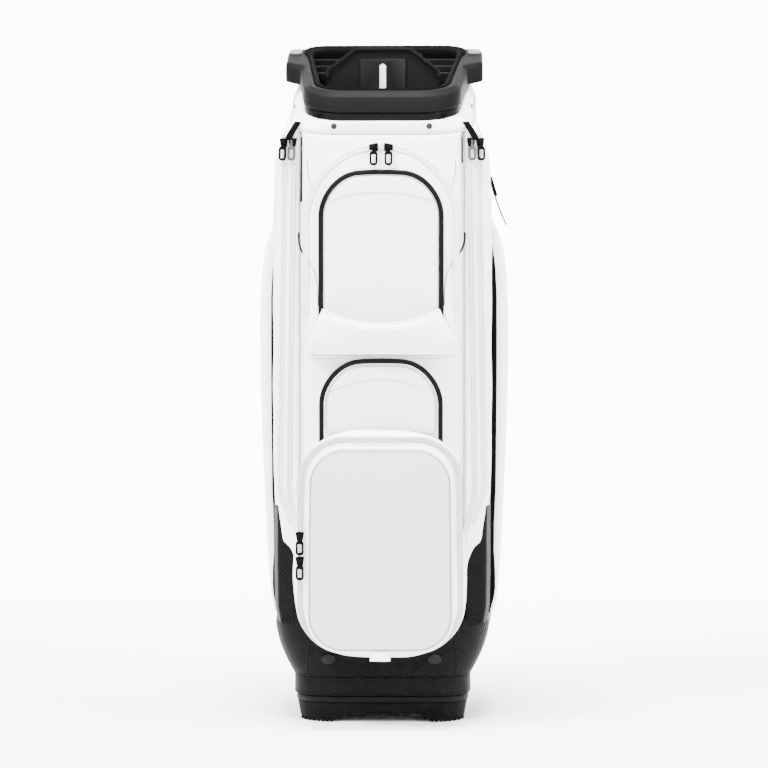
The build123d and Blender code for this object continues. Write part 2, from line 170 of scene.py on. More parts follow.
def joinPieces(name, pieces):
    # several meshes of one material become one piece
    work = bmesh.new()
    for piece in pieces:
        work.from_mesh(piece.data)
        bpy.data.objects.remove(piece)
    mesh = bpy.data.meshes.new(name)
    work.to_mesh(mesh)
    work.free()
    return addObject(name, mesh)


def profileTube(name, path, radius, sides=10, closedPath=False, flat=1.0, up=(0, -1, 0)):
    # a round or flattened section carried along a path; up is the section's short way
    path = np.asarray(path, float)
    step = np.roll(path, -1, 0) - np.roll(path, 1, 0)
    if not closedPath:
        step[0], step[-1] = path[1] - path[0], path[-1] - path[-2]
    ahead = step / np.linalg.norm(step, axis=1, keepdims=True)
    upward = np.broadcast_to(np.asarray(up, float), path.shape)
    sideways = np.cross(ahead, upward)
    sideways = sideways / np.linalg.norm(sideways, axis=1, keepdims=True)
    upward = np.cross(sideways, ahead)
    angles = np.linspace(0, tau, sides, endpoint=False)
    wide, high = np.cos(angles)[None, :, None], flat * np.sin(angles)[None, :, None]
    ring = wide * sideways[:, None] + high * upward[:, None]
    points = path[:, None] + np.atleast_1d(radius).reshape(-1, 1, 1) * ring
    if not closedPath:
        ends = [np.repeat(path[:1, None], sides, 1), points, np.repeat(path[-1:, None], sides, 1)]
        points = np.concatenate(ends, 0)
    return gridMesh(name, points, wrapAcross=True, wrapAlong=closedPath, closed=True)


def resample(path, spacing, closedPath=False):
    path = np.asarray(path, float)
    if closedPath:
        path = np.concatenate([path, path[:1]])
    length = np.concatenate([[0], np.cumsum(np.linalg.norm(np.diff(path, axis=0), axis=1))])
    count = max(int(length[-1] / spacing), 2)
    at = np.linspace(0, length[-1], count + 1)
    if closedPath:
        at = at[:-1]
    return np.stack([np.interp(at, length, path[:, k]) for k in range(3)], 1)


def beadRow(name, path, size, spacing, out=(0, -1, 0), closedPath=False, lift=0.0, lean=0.0):
    # small six-sided beads (stitches or zipper teeth) set along a path; size is length, width, height
    spots = resample(path, spacing, closedPath)
    ahead = np.gradient(spots, axis=0)
    ahead /= np.linalg.norm(ahead, axis=1, keepdims=True)
    outward = np.broadcast_to(np.asarray(out, float), spots.shape)
    sideways = np.cross(ahead, outward)
    sideways /= np.linalg.norm(sideways, axis=1, keepdims=True)
    outward = np.cross(sideways, ahead)
    ahead = ahead + lean * sideways
    angles = np.linspace(0, tau, 6, endpoint=False)
    stations = np.array([(-0.5, 0.05), (-0.38, 0.8), (0.0, 1.0), (0.38, 0.8), (0.5, 0.05)])
    x = stations[:, None, 0] * size[0] + 0 * angles
    y = stations[:, None, 1] * np.cos(angles) * size[1] / 2
    z = stations[:, None, 1] * np.sin(angles) * size[2] / 2
    local = np.stack([x, y, z], -1).reshape(-1, 3)
    axes = np.stack([ahead, sideways, outward], 1)
    points = np.einsum("pk,skc->spc", local, axes) + (spots + lift * outward)[:, None]
    i, j = np.meshgrid(np.arange(4), np.arange(6), indexing="ij")
    i, j = i.ravel(), j.ravel()
    sides = np.stack([i * 6 + j, (i + 1) * 6 + j, (i + 1) * 6 + (j + 1) % 6, i * 6 + (j + 1) % 6], 1)
    shift = (np.arange(len(spots)) * 30)[:, None, None]
    quads = (sides[None] + shift).reshape(-1, 4)
    caps = np.array([[5, 4, 3, 2, 1, 0], [24, 25, 26, 27, 28, 29]])
    ends = (caps[None] + shift).reshape(-1, 6)
    mesh = bpy.data.meshes.new(name)
    mesh.from_pydata(toScene(points.reshape(-1, 3)).tolist(), [], quads.tolist() + ends.tolist())
    shadeSmooth(mesh)
    mesh.update()
    return addObject(name, mesh)


def smooth(edge0, edge1, value):
    t = np.clip((value - edge0) / (edge1 - edge0), 0, 1)
    return t * t * (3 - 2 * t)


def softNoise(a, b, seed, scale):
    # four seeded sine waves each way give a slow, repeatable unevenness
    random = np.random.RandomState(seed)
    total = 0
    for k in range(4):
        fa, fb, phase = random.uniform(0.4, 1.6, 1), random.uniform(0.4, 1.6, 1), random.uniform(0, tau, 2)
        waveA = np.sin(a / scale * fa * (k + 1) + phase[0])
        total = total + waveA * np.sin(b / scale * fb * (k + 1) + phase[1]) / (k + 1)
    return total / 2


# materials

class Maths:
    # wraps a node socket so that shader maths reads as Python
    def __init__(self, tree, socket):
        self.tree, self.socket = tree, socket

    def make(self, kind, other, swap=False, clamp=False):
        node = self.tree.nodes.new("ShaderNodeMath")
        node.operation = kind
        node.use_clamp = clamp
        order = (other, self) if swap else (self, other)
        for k, value in enumerate(order):
            if value is None:
                continue
            if isinstance(value, Maths):
                self.tree.links.new(value.socket, node.inputs[k])
            else:
                node.inputs[k].default_value = value
        return Maths(self.tree, node.outputs[0])

    def __add__(self, other): return self.make("ADD", other)
    def __radd__(self, other): return self.make("ADD", other)
    def __sub__(self, other): return self.make("SUBTRACT", other)
    def __rsub__(self, other): return self.make("SUBTRACT", other, swap=True)
    def __mul__(self, other): return self.make("MULTIPLY", other)
    def __rmul__(self, other): return self.make("MULTIPLY", other)
    def sine(self): return self.make("SINE", None)
    def size(self): return self.make("ABSOLUTE", None)
    def power(self, other): return self.make("POWER", other)
    def clipped(self): return self.make("ADD", 0.0, clamp=True)


class Finish:
    # one material with a Principled shader; node() makes any other node
    def __init__(self, name, **constants):
        self.material = bpy.data.materials.new(name)
        self.material.use_nodes = True
        self.tree = self.material.node_tree
        self.shader = self.tree.nodes["Principled BSDF"]
        for key, value in constants.items():
            self.shader.inputs[key.replace("_", " ")].default_value = value

    def node(self, kind, settings=None, **inputs):
        node = self.tree.nodes.new(kind)
        for key, value in (settings or {}).items():
            if key == "stops":
                ramp = node.color_ramp
                while len(ramp.elements) < len(value):
                    ramp.elements.new(0.5)
                for element, (place, colour) in zip(ramp.elements, value):
                    element.position, element.color = place, (*colour, 1)
            else:
                setattr(node, key, value)
        for key, value in inputs.items():
            socket = node.inputs[int(key[1:])] if key[0] == "i" and key[1:].isdigit() else node.inputs[key]
            if isinstance(value, Maths):
                self.tree.links.new(value.socket, socket)
            else:
                socket.default_value = value
        return node

    def value(self, kind, output=0, settings=None, **inputs):
        return Maths(self.tree, self.node(kind, settings, **inputs).outputs[output])

    def place(self, uv=False):
        return self.value("ShaderNodeTexCoord", "UV" if uv else "Object")

    def noise(self, where, scale, detail=3.0):
        return self.value("ShaderNodeTexNoise", "Fac", Vector=where, Scale=scale, Detail=detail)

    def cells(self, where, scale, feature="F1"):
        return self.value("ShaderNodeTexVoronoi", "Distance", {"feature": feature}, Vector=where, Scale=scale)

    def axes(self, where):
        split = self.node("ShaderNodeSeparateXYZ", Vector=where)
        return [Maths(self.tree, split.outputs[k]) for k in range(3)]

    def blend(self, factor, first, second):
        return self.value("ShaderNodeMix", 2, {"data_type": "RGBA"}, i0=factor, i6=(*first, 1), i7=(*second, 1))

    def feed(self, socket, value):
        self.tree.links.new(value.socket, self.shader.inputs[socket])

    def bump(self, height, strength, distance):
        bump = self.value("ShaderNodeBump", 0, Height=height, Strength=strength, Distance=distance * mm)
        self.feed("Normal", bump)
        return self.material


def whiteCoated(name, bright):
    # coated fabric: fine pebble grain, faint mottling, slight sheen
    finish = Finish(name, Sheen_Weight=0.12, Sheen_Roughness=0.5, Specular_IOR_Level=0.35)
    where = finish.place()
    mottle = finish.noise(where, 14.0, 4.0)
    grain = finish.cells(where, 850.0)
    fine = finish.noise(where, 2400.0, 2.0)
    dark = (bright * 0.955, bright * 0.955, bright * 0.96)
    light = (bright,) * 3
    finish.feed("Base Color", finish.blend((mottle * 0.7 + grain * 0.35).clipped(), dark, light))
    finish.feed("Roughness", 0.46 + 0.12 * mottle + 0.08 * grain)
    return finish.bump(grain * 0.6 + fine * 0.4, 0.35, 0.12)


def twillCoated(name):
    # black coated cloth with a diagonal rib, threads crossing each rib
    finish = Finish(name, Specular_IOR_Level=0.03)
    u, v, _ = finish.axes(finish.place(uv=True))
    across = (u * 0.9 + v * 0.75) * (tau / 0.005)
    rib = (across.sine() * 0.5 + 0.5).power(0.7)
    thread = ((u * 0.75 - v * 0.9) * (tau / 0.0011)).sine() * 0.5 + 0.5
    worn = finish.noise(finish.place(), 9.0, 4.0)
    tone = (rib * 0.62 + thread * rib * 0.22 + worn * 0.16).clipped()
    finish.feed("Base Color", finish.blend(tone, (0.0003, 0.0003, 0.00035), (0.0048, 0.0049, 0.0051)))
    finish.feed("Roughness", 0.56 - 0.2 * rib + 0.08 * worn)
    return finish.bump(rib * 0.8 + thread * 0.2, 0.7, 0.45)


def wovenBlack(name, tone=0.02, pitch=1.4, rough=0.8):
    # plain weave: two sets of rounded threads over and under each other
    finish = Finish(name, Specular_IOR_Level=0.01)
    x, y, z = finish.axes(finish.place())
    scale = tau / (pitch * mm)
    threads = ((x + y) * scale).sine() * (z * scale).sine() * 0.5 + 0.5
    fuzz = finish.noise(finish.place(), 700.0, 3.0)
    low, high = (tone * 0.55,) * 3, (tone * 1.6,) * 3
    finish.feed("Base Color", finish.blend((threads * 0.7 + fuzz * 0.3).clipped(), low, high))
    finish.feed("Roughness", rough - 0.1 * threads)
    return finish.bump(threads * 0.7 + fuzz * 0.3, 0.5, 0.25)


def grainBlack(name, tone=0.03, rough=0.42):
    # synthetic leather: cell grain with creases
    finish = Finish(name, Specular_IOR_Level=0.05)
    where = finish.place()
    cells = finish.cells(where, 620.0)
    crease = finish.noise(where, 60.0, 5.0)
    low, high = (tone * 0.6,) * 3, (tone * 1.5,) * 3
    finish.feed("Base Color", finish.blend((cells * 0.6 + crease * 0.4).clipped(), low, high))
    finish.feed("Roughness", rough + 0.14 * crease)
    return finish.bump(cells * 0.7 + crease * 0.3, 0.45, 0.2)


def moulded(name, colour, rough):
    # injection-moulded plastic: spark-eroded texture, faint flow marks
    finish = Finish(name, Specular_IOR_Level=0.03)
    where = finish.place()
    spark = finish.noise(where, 1500.0, 2.0)
    flow = finish.noise(where, 11.0, 4.0)
    low = tuple(0.82 * c for c in colour)
    high = tuple(min(1.25 * c, 1.0) for c in colour)
    finish.feed("Base Color", finish.blend((flow * 0.7 + spark * 0.3).clipped(), low, high))
    finish.feed("Roughness", rough + 0.12 * spark - 0.06 * flow)
    return finish.bump(spark, 0.3, 0.12)


def rubberFoot(name):
    finish = Finish(name, Specular_IOR_Level=0.04)
    where = finish.place()
    dust = finish.noise(where, 90.0, 5.0)
    finish.feed("Base Color", finish.blend(dust, (0.0012, 0.0012, 0.0012), (0.004, 0.0039, 0.0038)))
    finish.feed("Roughness", 0.7 + 0.2 * dust)
    return finish.bump(dust, 0.3, 0.2)


def platedSteel(name, tone=0.3):
    finish = Finish(name, Metallic=0.9)
    where = finish.place()
    scratch = finish.noise(where, 420.0, 4.0)
    finish.feed("Base Color", finish.blend(scratch, (tone * 0.7,) * 3, (tone * 1.2,) * 3))
    finish.feed("Roughness", 0.3 + 0.2 * scratch)
    return finish.bump(scratch, 0.1, 0.05)


def webbingBlack(name, tone=0.022):
    # ribbed strap webbing: fine chevrons along its length
    finish = Finish(name, Specular_IOR_Level=0.02)
    x, y, z = finish.axes(finish.place())
    rib = ((z + (x - y).size() * 0.6) * (tau / 0.0017)).sine() * 0.5 + 0.5
    fuzz = finish.noise(finish.place(), 900.0, 2.0)
    finish.feed("Base Color", finish.blend((rib * 0.7 + fuzz * 0.3).clipped(), (tone * 0.5,) * 3, (tone * 1.7,) * 3))
    finish.feed("Roughness", 0.75 - 0.15 * rib)
    return finish.bump(rib, 0.6, 0.3)


finishes = {
    "white": whiteCoated("white coated fabric", 0.87),
    # a darker copy of the white coated fabric: its lower brightness is painted shade for the light falling off down the
    # front
    "whitePaintedShade": whiteCoated("white fabric with painted shade", 0.7),
    # a still darker copy of the white coated fabric: painted shade for the lower panel, which gets less of the top
    # light
    "whiteDeeperPaintedShade": whiteCoated("white fabric with deeper painted shade", 0.45),
    "tape": whiteCoated("zipper tape", 0.3),
    "thread": whiteCoated("white thread", 0.16),
    "greyThread": whiteCoated("grey thread", 0.05),
    "coil": whiteCoated("white zipper coil", 0.62),
    "twill": twillCoated("black twill"),
    "lining": wovenBlack("black lining", 0.0009, 2.2),
    "dark": wovenBlack("black gusset cloth", 0.0012, 1.2, 0.62),
    "leather": grainBlack("black synthetic leather", 0.0022),
    "piping": grainBlack("black piping", 0.0014, 0.4),
    "collar": moulded("dark grey moulding", (0.0036, 0.0037, 0.0039), 0.55),
    "dividers": moulded("black divider moulding", (0.0009, 0.0009, 0.001), 0.6),
    "base": moulded("black base moulding", (0.0021, 0.0021, 0.0022), 0.55),
    "pull": moulded("black pull", (0.0012, 0.0012, 0.0013), 0.34),
    "greyPull": moulded("grey pull", (0.045, 0.047, 0.05), 0.34),
    # light grey grip: a painted highlight for the bright tops of the side handle ears
    "grip": moulded("grip, light grey as painted highlight", (0.1, 0.102, 0.106), 0.4),
    "inlay": moulded("light insert", (0.5, 0.5, 0.5), 0.4),
    "badge": moulded("dark badge", (0.009, 0.009, 0.0093), 0.4),
    "rubber": rubberFoot("foot rubber"),
    "steel": platedSteel("dark plated steel", 0.03),
    "rod": moulded("rod fibre", (0.006, 0.006, 0.006), 0.25),
    "webbing": webbingBlack("black webbing", 0.0012),
    "foam": wovenBlack("floor foam", 0.006, 2.5, 0.9),
}

print("materials made:", len(finishes))


def dress(piece, finish, *nodes, body="root"):
    piece.data.materials.clear()
    piece.data.materials.append(finishes[finish])
    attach(piece, body)
    if nodes:
        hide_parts(*nodes)
    return piece


# shared builders for the pieces

def slabMesh(name, front, back):
    # two matching grids, outer and inner, closed round all four edges
    middle = (front + back) / 2
    loops = np.concatenate([front, back[:, ::-1]], axis=1)
    capLow = np.concatenate([middle[:1], middle[:1, ::-1]], axis=1)
    capHigh = np.concatenate([middle[-1:], middle[-1:, ::-1]], axis=1)
    return gridMesh(name, np.concatenate([capLow, loops, capHigh]), wrapAcross=True, closed=True)


def ringMesh(name, section, loopOf, slanted=True, shape=None):
    # closed section of (inset, height) carried round a loop of the bag's plan
    points = ringPoints([loopOf(inset) for inset, _ in section], [height for _, height in section], slanted)
    if shape is not None:
        points = shape(points)
    return gridMesh(name, points, wrapAcross=True, wrapAlong=True, closed=True)


def archOutline(half, low, top, corner, crown=0.0, steps=26):
    # upright legs, rounded shoulders and a crowned top, as (x, z) points round the outline
    crownX = np.linspace(half, -half, 9)[1:-1]
    cap = [(x, top - crown * (x / half) ** 2) for x in crownX]
    corners = [(-half, low), (half, low), (half, top - crown), (-half, top - crown)]
    outline = roundedOutline(corners, [3, 3, corner, corner], steps, 40)
    z = outline[:, 1]
    lift = crown * (1 - (outline[:, 0] / half) ** 2) * smooth(top - crown - 60, top - crown, z)
    return np.column_stack([outline[:, 0], z + lift])


def pocketPoints(outline, back, front, edge, bulge, crown, seed, wrinkle):
    # rows go from the back's middle line out to the outline, along the side wall, round the edge
    # and in over the crowned face to the middle line again
    x, z = outline[:, 0], outline[:, 1]
    half = (x.max() - x.min()) / 2
    middleX = (x.max() + x.min()) / 2
    tall = z.max() - z.min() > 2 * half
    zMiddle = np.clip(z, z.min() + half, z.max() - half) if tall else np.full(len(z), z.mean())
    toMiddle = np.column_stack([middleX - x, zMiddle - z])
    reach = np.maximum(np.linalg.norm(toMiddle, axis=1), 1e-6)
    rows = []

    def addRow(fraction, y):
        flat = outline + toMiddle * np.reshape(fraction, (-1, 1))
        rows.append(np.column_stack([flat[:, 0], np.broadcast_to(y, x.shape), flat[:, 1]]))

    for f in (1.0, 0.5, 0.1, 0.0):
        addRow(np.full(len(x), f), back)
    for t in np.linspace(0, 1, 9)[1:]:
        addRow(-bulge * math.sin(math.pi * min(t, 0.98)) / reach, back + (front + edge - back) * t)
    for a in np.linspace(0, math.pi / 2, 8)[1:]:
        addRow(edge * (1 - math.cos(a)) / reach, front + edge * (1 - math.sin(a)))
    start = edge / reach
    for t in np.linspace(0, 1, 18)[1:]:
        f = start + (1 - start) * t
        swell = crown * (1 - (1 - t) ** 2.2)
        uneven = wrinkle * softNoise(x + toMiddle[:, 0] * f, z + toMiddle[:, 1] * f, seed, 38.0) * min(1.0, 3 * t)
        addRow(f, front - swell + uneven)
    return np.array(rows)


def pocketMesh(name, outline, back, front, **shape):
    return gridMesh(name, pocketPoints(outline, back, front, **shape), wrapAcross=True, closed=True)


def inflate(piece, voxel, pressure, cap, frames=20):
    # cloth simulation with inner pressure on a remeshed copy, each point's move capped
    remesh = piece.modifiers.new("Remesh", "REMESH")
    remesh.mode = "VOXEL"
    remesh.voxel_size = voxel * mm
    remesh.use_smooth_shade = True
    applyModifiers(piece)
    rest = vertexArray(piece)
    cloth = piece.modifiers.new("Cloth", "CLOTH")
    cloth.settings.quality = 4
    cloth.settings.mass = 0.3
    cloth.settings.use_pressure = True
    cloth.settings.uniform_pressure_force = pressure
    cloth.settings.effector_weights.gravity = 0
    cloth.settings.tension_stiffness = 25
    cloth.settings.compression_stiffness = 25
    cloth.settings.bending_stiffness = 0.8
    cloth.point_cache.frame_start, cloth.point_cache.frame_end = 1, frames
    scene = bpy.context.scene
    for frameNumber in range(1, frames + 1):
        scene.frame_set(frameNumber)
    evaluated = piece.evaluated_get(bpy.context.evaluated_depsgraph_get())
    moved = np.empty(len(rest) * 3)
    evaluated.data.vertices.foreach_get("co", moved)
    move = moved.reshape(-1, 3) - rest
    length = np.maximum(np.linalg.norm(move, axis=1, keepdims=True), 1e-9)
    move *= np.minimum(1.0, cap * mm / length)
    piece.modifiers.clear()
    piece.data.vertices.foreach_set("co", (rest + move).ravel())
    piece.data.update()
    scene.frame_set(1)
    relax = piece.modifiers.new("Smooth", "SMOOTH")
    relax.factor, relax.iterations = 0.5, 4
    finer = piece.modifiers.new("Subdivision", "SUBSURF")
    finer.levels = finer.render_levels = 1
    applyModifiers(piece)
    shadeSmooth(piece.data)
    return piece


def vertexArray(piece):
    points = np.empty(len(piece.data.vertices) * 3)
    piece.data.vertices.foreach_get("co", points)
    return points.reshape(-1, 3)


def applyModifiers(piece):
    evaluated = piece.evaluated_get(bpy.context.evaluated_depsgraph_get())
    mesh = bpy.data.meshes.new_from_object(evaluated)
    piece.modifiers.clear()
    piece.data = mesh


def laidOn(pieces, path, direction=(0, 1, 0), lift=0.2):
    # drops each point of a path on to the first surface met along the direction
    trees = [surfaceTree(piece) for piece in (pieces if isinstance(pieces, (list, tuple)) else [pieces])]
    way = np.asarray(direction, float) / np.linalg.norm(direction)
    landed = np.array(path, float)
    for k, point in enumerate(np.asarray(path, float)):
        start = toScene(point) - way * 0.08
        hits = [tree.ray_cast(start.tolist(), way.tolist()) for tree in trees]
        reached = [hit[3] for hit in hits if hit[0] is not None]
        if reached:
            landed[k] = point + way * ((min(reached) - 0.08) / mm - lift)
    return landed


def surfaceTree(piece):
    return BVHTree.FromObject(piece, bpy.context.evaluated_depsgraph_get())


def softCopy(node, name, finish, bevel=0.8, body="root"):
    # a hard node's own shape with its edges eased
    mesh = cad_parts[node].data.copy()
    work = bmesh.new()
    work.from_mesh(mesh)
    bmesh.ops.remove_doubles(work, verts=work.verts, dist=1e-5)
    bmesh.ops.dissolve_limit(work, angle_limit=0.02, verts=work.verts, edges=work.edges)
    bmesh.ops.recalc_face_normals(work, faces=work.faces)
    work.to_mesh(mesh)
    work.free()
    mesh.name = name
    mesh.materials.clear()
    piece = addObject(name, mesh)
    if bevel:
        eased = piece.modifiers.new("Bevel", "BEVEL")
        eased.width = bevel * mm
        eased.segments = 3
        eased.limit_method = "ANGLE"
        eased.angle_limit = math.radians(35)
        eased.harden_normals = True
    shadeSmooth(mesh)
    return dress(piece, finish, node, body=body)


def stitches(name, path, finish, out=(0, -1, 0), length=2.6, spacing=3.6, width=0.7, closedPath=False,
             lift=0.1):
    row = beadRow(name, path, (length, width, width * 0.8), spacing, out, closedPath, lift)
    return dress(row, finish)


def frontY(x, flat=67.0, radius=58.0, front=-125.0):
    # front of the padded wrap: flat in the middle, an arc at each corner
    return front + radius - np.sqrt(radius**2 - np.clip(np.abs(x) - flat, 0, radius - 1) ** 2)


def bodySideX(y):
    # side of the club tube at a given y
    y = np.asarray(y, float)
    side = 116 + 4 * (y + 116) / 234
    front = 66 + np.sqrt(np.maximum(2500 - np.minimum(y + 66, 0) ** 2, 0))
    rear = 70 + np.sqrt(np.maximum(2500 - np.maximum(y - 68, 0) ** 2, 0))
    return np.minimum(side, np.where(y < 0, front, rear))


def uprightLoft(name, plan, heights, reach, base=106.0, widest=144.0, clear=0.6, bulge=1.5, seed=3, slantTop=None):
    # a plan outline carried upwards, its outer side pulled in or out to the reach at each height
    rows = []
    z = np.asarray(heights, float)
    low, high = z[0], z[-1]
    for height in z:
        level = np.full(len(plan), height)
        if slantTop is not None:
            rise = slantHeight(slantTop, plan[:, 1]) - high
            level = height + rise * smooth(high - 90, high, height)
        scale = (np.interp(level, reach["z"], reach["x"]) - base) / (widest - base)
        x = base + (plan[:, 0] - base) * scale
        x = np.maximum(x, bodySideX(plan[:, 1]) + clear)
        uneven = bulge * softNoise(plan[:, 1] + 30, level, seed, 46.0)
        rows.append(np.column_stack([x + uneven * (plan[:, 0] > base + 0.6 * (widest - base)), plan[:, 1], level]))
    points = np.array(rows)
    centre = points.mean(axis=1, keepdims=True)
    ends = [centre[:1] + (points[:1] - centre[:1]) * f for f in (0.0, 0.8)]
    tops = [centre[-1:] + (points[-1:] - centre[-1:]) * f for f in (0.8, 0.0)]
    for k, drop in enumerate((-2.0, -1.6)):
        ends[k] = ends[k] + [0, 0, drop]
        tops[1 - k] = tops[1 - k] - [0, 0, drop]
    return gridMesh(name, np.concatenate([*ends, points, *tops]), wrapAcross=True, closed=True)


# moulded top

collar = {
    "low": 800.0, "earReach": 134.0, "earFront": (14.0, 42.0), "earRear": (104.0, 124.0),
    "grooveInner": 118.5, "grooveOuter": 128.5, "grooveTop": 817.0,
    "grooveFront": (40.0, 48.0), "grooveRear": (98.0, 106.0),
}


def makeCollar():
    c = collar
    section = [  # inset, height, part of the ear's reach, part of the groove
        (12.0, 800.0, 0.0, 0.0), (8.6, 799.6, 0.0, 0.0),
        (8.0, 799.6, "inner", 0.0), (7.4, 799.6, "inner", 1.0), (3.0, 799.6, "outer", 1.0), (2.4, 799.6, "outer", 0.0),
        (-0.4, 799.8, 0.97, 0.0), (-1.7, 800.8, 0.995, 0.0), (-2.0, 803.0, 1.0, 0.0), (-2.0, 810.0, 1.0, 0.0),
        (-2.0, 819.6, 1.0, 0.0), (-1.7, 820.5, 1.0, 0.0), (-1.0, 821.1, 0.99, 0.0), (1.2, 822.7, 0.97, 0.0),
        (3.6, 824.5, 0.93, 0.0), (5.0, 825.5, 0.9, 0.0), (6.2, 826.0, 0.8, 0.0), (8.4, 826.1, 0.3, 0.0),
        (10.6, 826.0, 0.0, 0.0), (11.7, 825.4, 0.0, 0.0), (12.0, 824.0, 0.0, 0.0),
    ]
    rows = []
    for inset, height, earPart, groovePart in section:
        loop = collarLoop(inset, 22, 72)
        x, y = loop[:, 0].copy(), loop[:, 1]
        side = np.sign(x) * (np.abs(x) > 88)
        ear = smooth(*c["earFront"], y) * (1 - smooth(*c["earRear"], y)) * np.abs(side)
        groove = smooth(*c["grooveFront"], y) * (1 - smooth(*c["grooveRear"], y)) * np.abs(side)
        if earPart in ("inner", "outer"):
            target = c["grooveInner"] if earPart == "inner" else c["grooveOuter"]
            reachTo = np.minimum(target, np.abs(x) + (c["earReach"] - 4 - np.abs(x)) * ear * 0.96)
            x = x + side * (reachTo - np.abs(x)) * groove
        else:
            x = x + side * (c["earReach"] - np.abs(x)) * ear * earPart
        z = slantHeight(height, y) + (c["grooveTop"] - c["low"]) * groove * groovePart
        rows.append(np.column_stack([x, y, z]))
    return gridMesh("topCollar", np.array(rows), wrapAcross=True, wrapAlong=True, closed=True)


dress(makeCollar(), "collar", "top_collar")
# the grips' light grey is a painted highlight
softCopy("handle_grips", "handleGrips", "grip", 1.1)

lining = {"outer": 12.2, "inner": 20.0, "low": 790.0, "top": 826.6, "stitchInset": 15.0}


def makeLining():
    o, i, low, top = lining["outer"], lining["inner"], lining["low"], lining["top"]
    section = [
        (o, low), (o, 800), (o, 812), (o + 0.1, top - 2), (o + 1.0, top + 0.2), (o + 2.6, top + 0.9),
        (o + 3.6, top + 0.4), (o + 4.8, top + 0.8), (i - 1.4, top + 0.3), (i - 0.2, top - 2.0), (i, top - 6.0),
        (i - 1.2, 814.0), (i - 0.2, 806.0), (i - 0.6, 797.0), (i - 1.0, low),
    ]
    wrapRows = {3, 4, 5}

    def overRear(points):
        # at the rear the padding rolls outwards over the moulding
        for k in wrapRows:
            rear = smooth(52, 104, points[k, :, 1])[:, None]
            outward = points[k] * [1, 1, 0] * [0.09, 0.075, 0]
            points[k] += rear * (outward + [0, 0, 2.2 + 0.5 * k])
        return points

    return ringMesh("paddedMouthLining", section, collarLoop, shape=overRear)


dress(makeLining(), "lining", "collar_lining")
mouthStitch = ringPath(collarLoop(lining["stitchInset"] + 0.8), lining["top"] + 0.5)
stitches("liningStitching", mouthStitch, "leather", (0, 0, 1), 1.8, 2.8, 0.6, True)

gasket = {
    "stitch": 790.6,
    "section": [(8, 788.2), (1.6, 788.2), (0.9, 788.8), (0.5, 790.2), (0.75, 791.4), (0.3, 794.0), (0.5, 797.0),
                (1.3, 799.3), (2.5, 799.9), (8, 799.9)],
}
dress(ringMesh("stitchedGasket", gasket["section"], collarLoop), "leather", "gasket")
gasketStitch = resample(ringPath(collarLoop(0.55), gasket["stitch"]), 3.2, True)
stitches("gasketStitching", gasketStitch, "collar", (0, -1, 0), 1.9, 3.2, 0.7, True)

cuff = {"low": 771.5, "top": 788.0, "stitch": 773.4}


def cuffLoop(t):
    return trapezoid(121 - 19 * t, 124 - 3 * t, -121 - 4 * t, 124 + t, 54, 50, 20, 30)


def makeCuff():
    low, rise = cuff["low"], cuff["top"] - cuff["low"]
    loops, heights = [], []
    for t in np.linspace(0, 1, 12):
        bow = 1.1 * math.sin(math.pi * t)
        loops.append(cuffLoop(t) * (1 + bow / 125))
        heights.append(low + rise * t)
    for inset, height in ((0.985, 788.9), (0.96, 789.2), (0.94, 788.6), (0.935, 786.0), (0.935, 773.0)):
        loops.append(cuffLoop(1.0) * inset)
        heights.append(height)
    loops.append(cuffLoop(0) * 0.965)
    heights.append(low - 0.3)
    points = ringPoints(loops, heights, True)
    return gridMesh("flaredCuff", points, wrapAcross=True, wrapAlong=True, closed=True)


dress(makeCuff(), "white", "cuff")
cuffStitch = resample(ringPath(cuffLoop(0.1) * 1.0035, cuff["stitch"]), 3.4, True)
stitches("cuffStitching", cuffStitch, "greyThread", (0, -1, 0), 2.3, 3.4, 0.65, True)
cuffEdge = ringPath(cuffLoop(0) * 1.002, cuff["low"] - 0.2)
dress(profileTube("cuffTurnedEdge", cuffEdge, 1.0, 8, True, 0.8, (0, 0, 1)), "whitePaintedShade")
cuffHem = resample(ringPath(cuffLoop(0) * 1.003, cuff["low"] + 1.6), 2.8, True)
stitches("cuffHemStitching", cuffHem, "greyThread", (0, -1, 0), 2.0, 2.8, 0.6, True)
softCopy("cuff_rivets", "cuffRivets", "steel", 0.3)
softCopy("cuff_snaps", "gasketSnaps", "pull", 0.4)
print("moulded top made")

softCopy("putter_plate", "putterPlate", "collar", 1.0)
softCopy("plate_inlay", "plateInsert", "inlay", 0.3)
softCopy("divider_rails", "dividerRails", "dividers", 0.9)

dividers = {
    "low": 24.0, "railUnder": 804.0, "thickness": 2.0, "rows": (-4.0, 33.0, 70.0), "first": -41.0, "last": 112.0,
    "ribs": ((-34, 34), (-49, 0, 49), (-34, 34), (-49, 0, 49)),
}


def insideHalf(y):
    # half width inside the lining at a given y
    loop = collarLoop(20.4, 20, 40)
    right = loop[loop[:, 0] > 0]
    order = np.argsort(right[:, 1])
    return float(np.interp(y, right[order, 1], right[order, 0]))


def hungSheet(name, start, end, top, low, seed):
    # a cloth panel between two plan points, hung from the rails, with a slow wave that fades at the rail
    u, v = np.meshgrid(np.linspace(0, 1, 14), np.linspace(0, 1, 40))
    along = np.array(end, float) - np.array(start, float)
    normal = np.array([-along[1], along[0]]) / np.linalg.norm(along)
    plan = np.array(start) + u[..., None] * along
    z = low + (top(plan[..., 1]) - low) * v
    wave = 0.55 * softNoise(u * 120, z, seed, 70.0) * (1 - v**6) * np.sin(np.pi * u)
    middle = np.dstack([plan + wave[..., None] * normal, z])
    side = np.array([normal[0], normal[1], 0]) * (dividers["thickness"] / 2 - 0.05)
    return slabMesh(name, middle + side, middle - side)


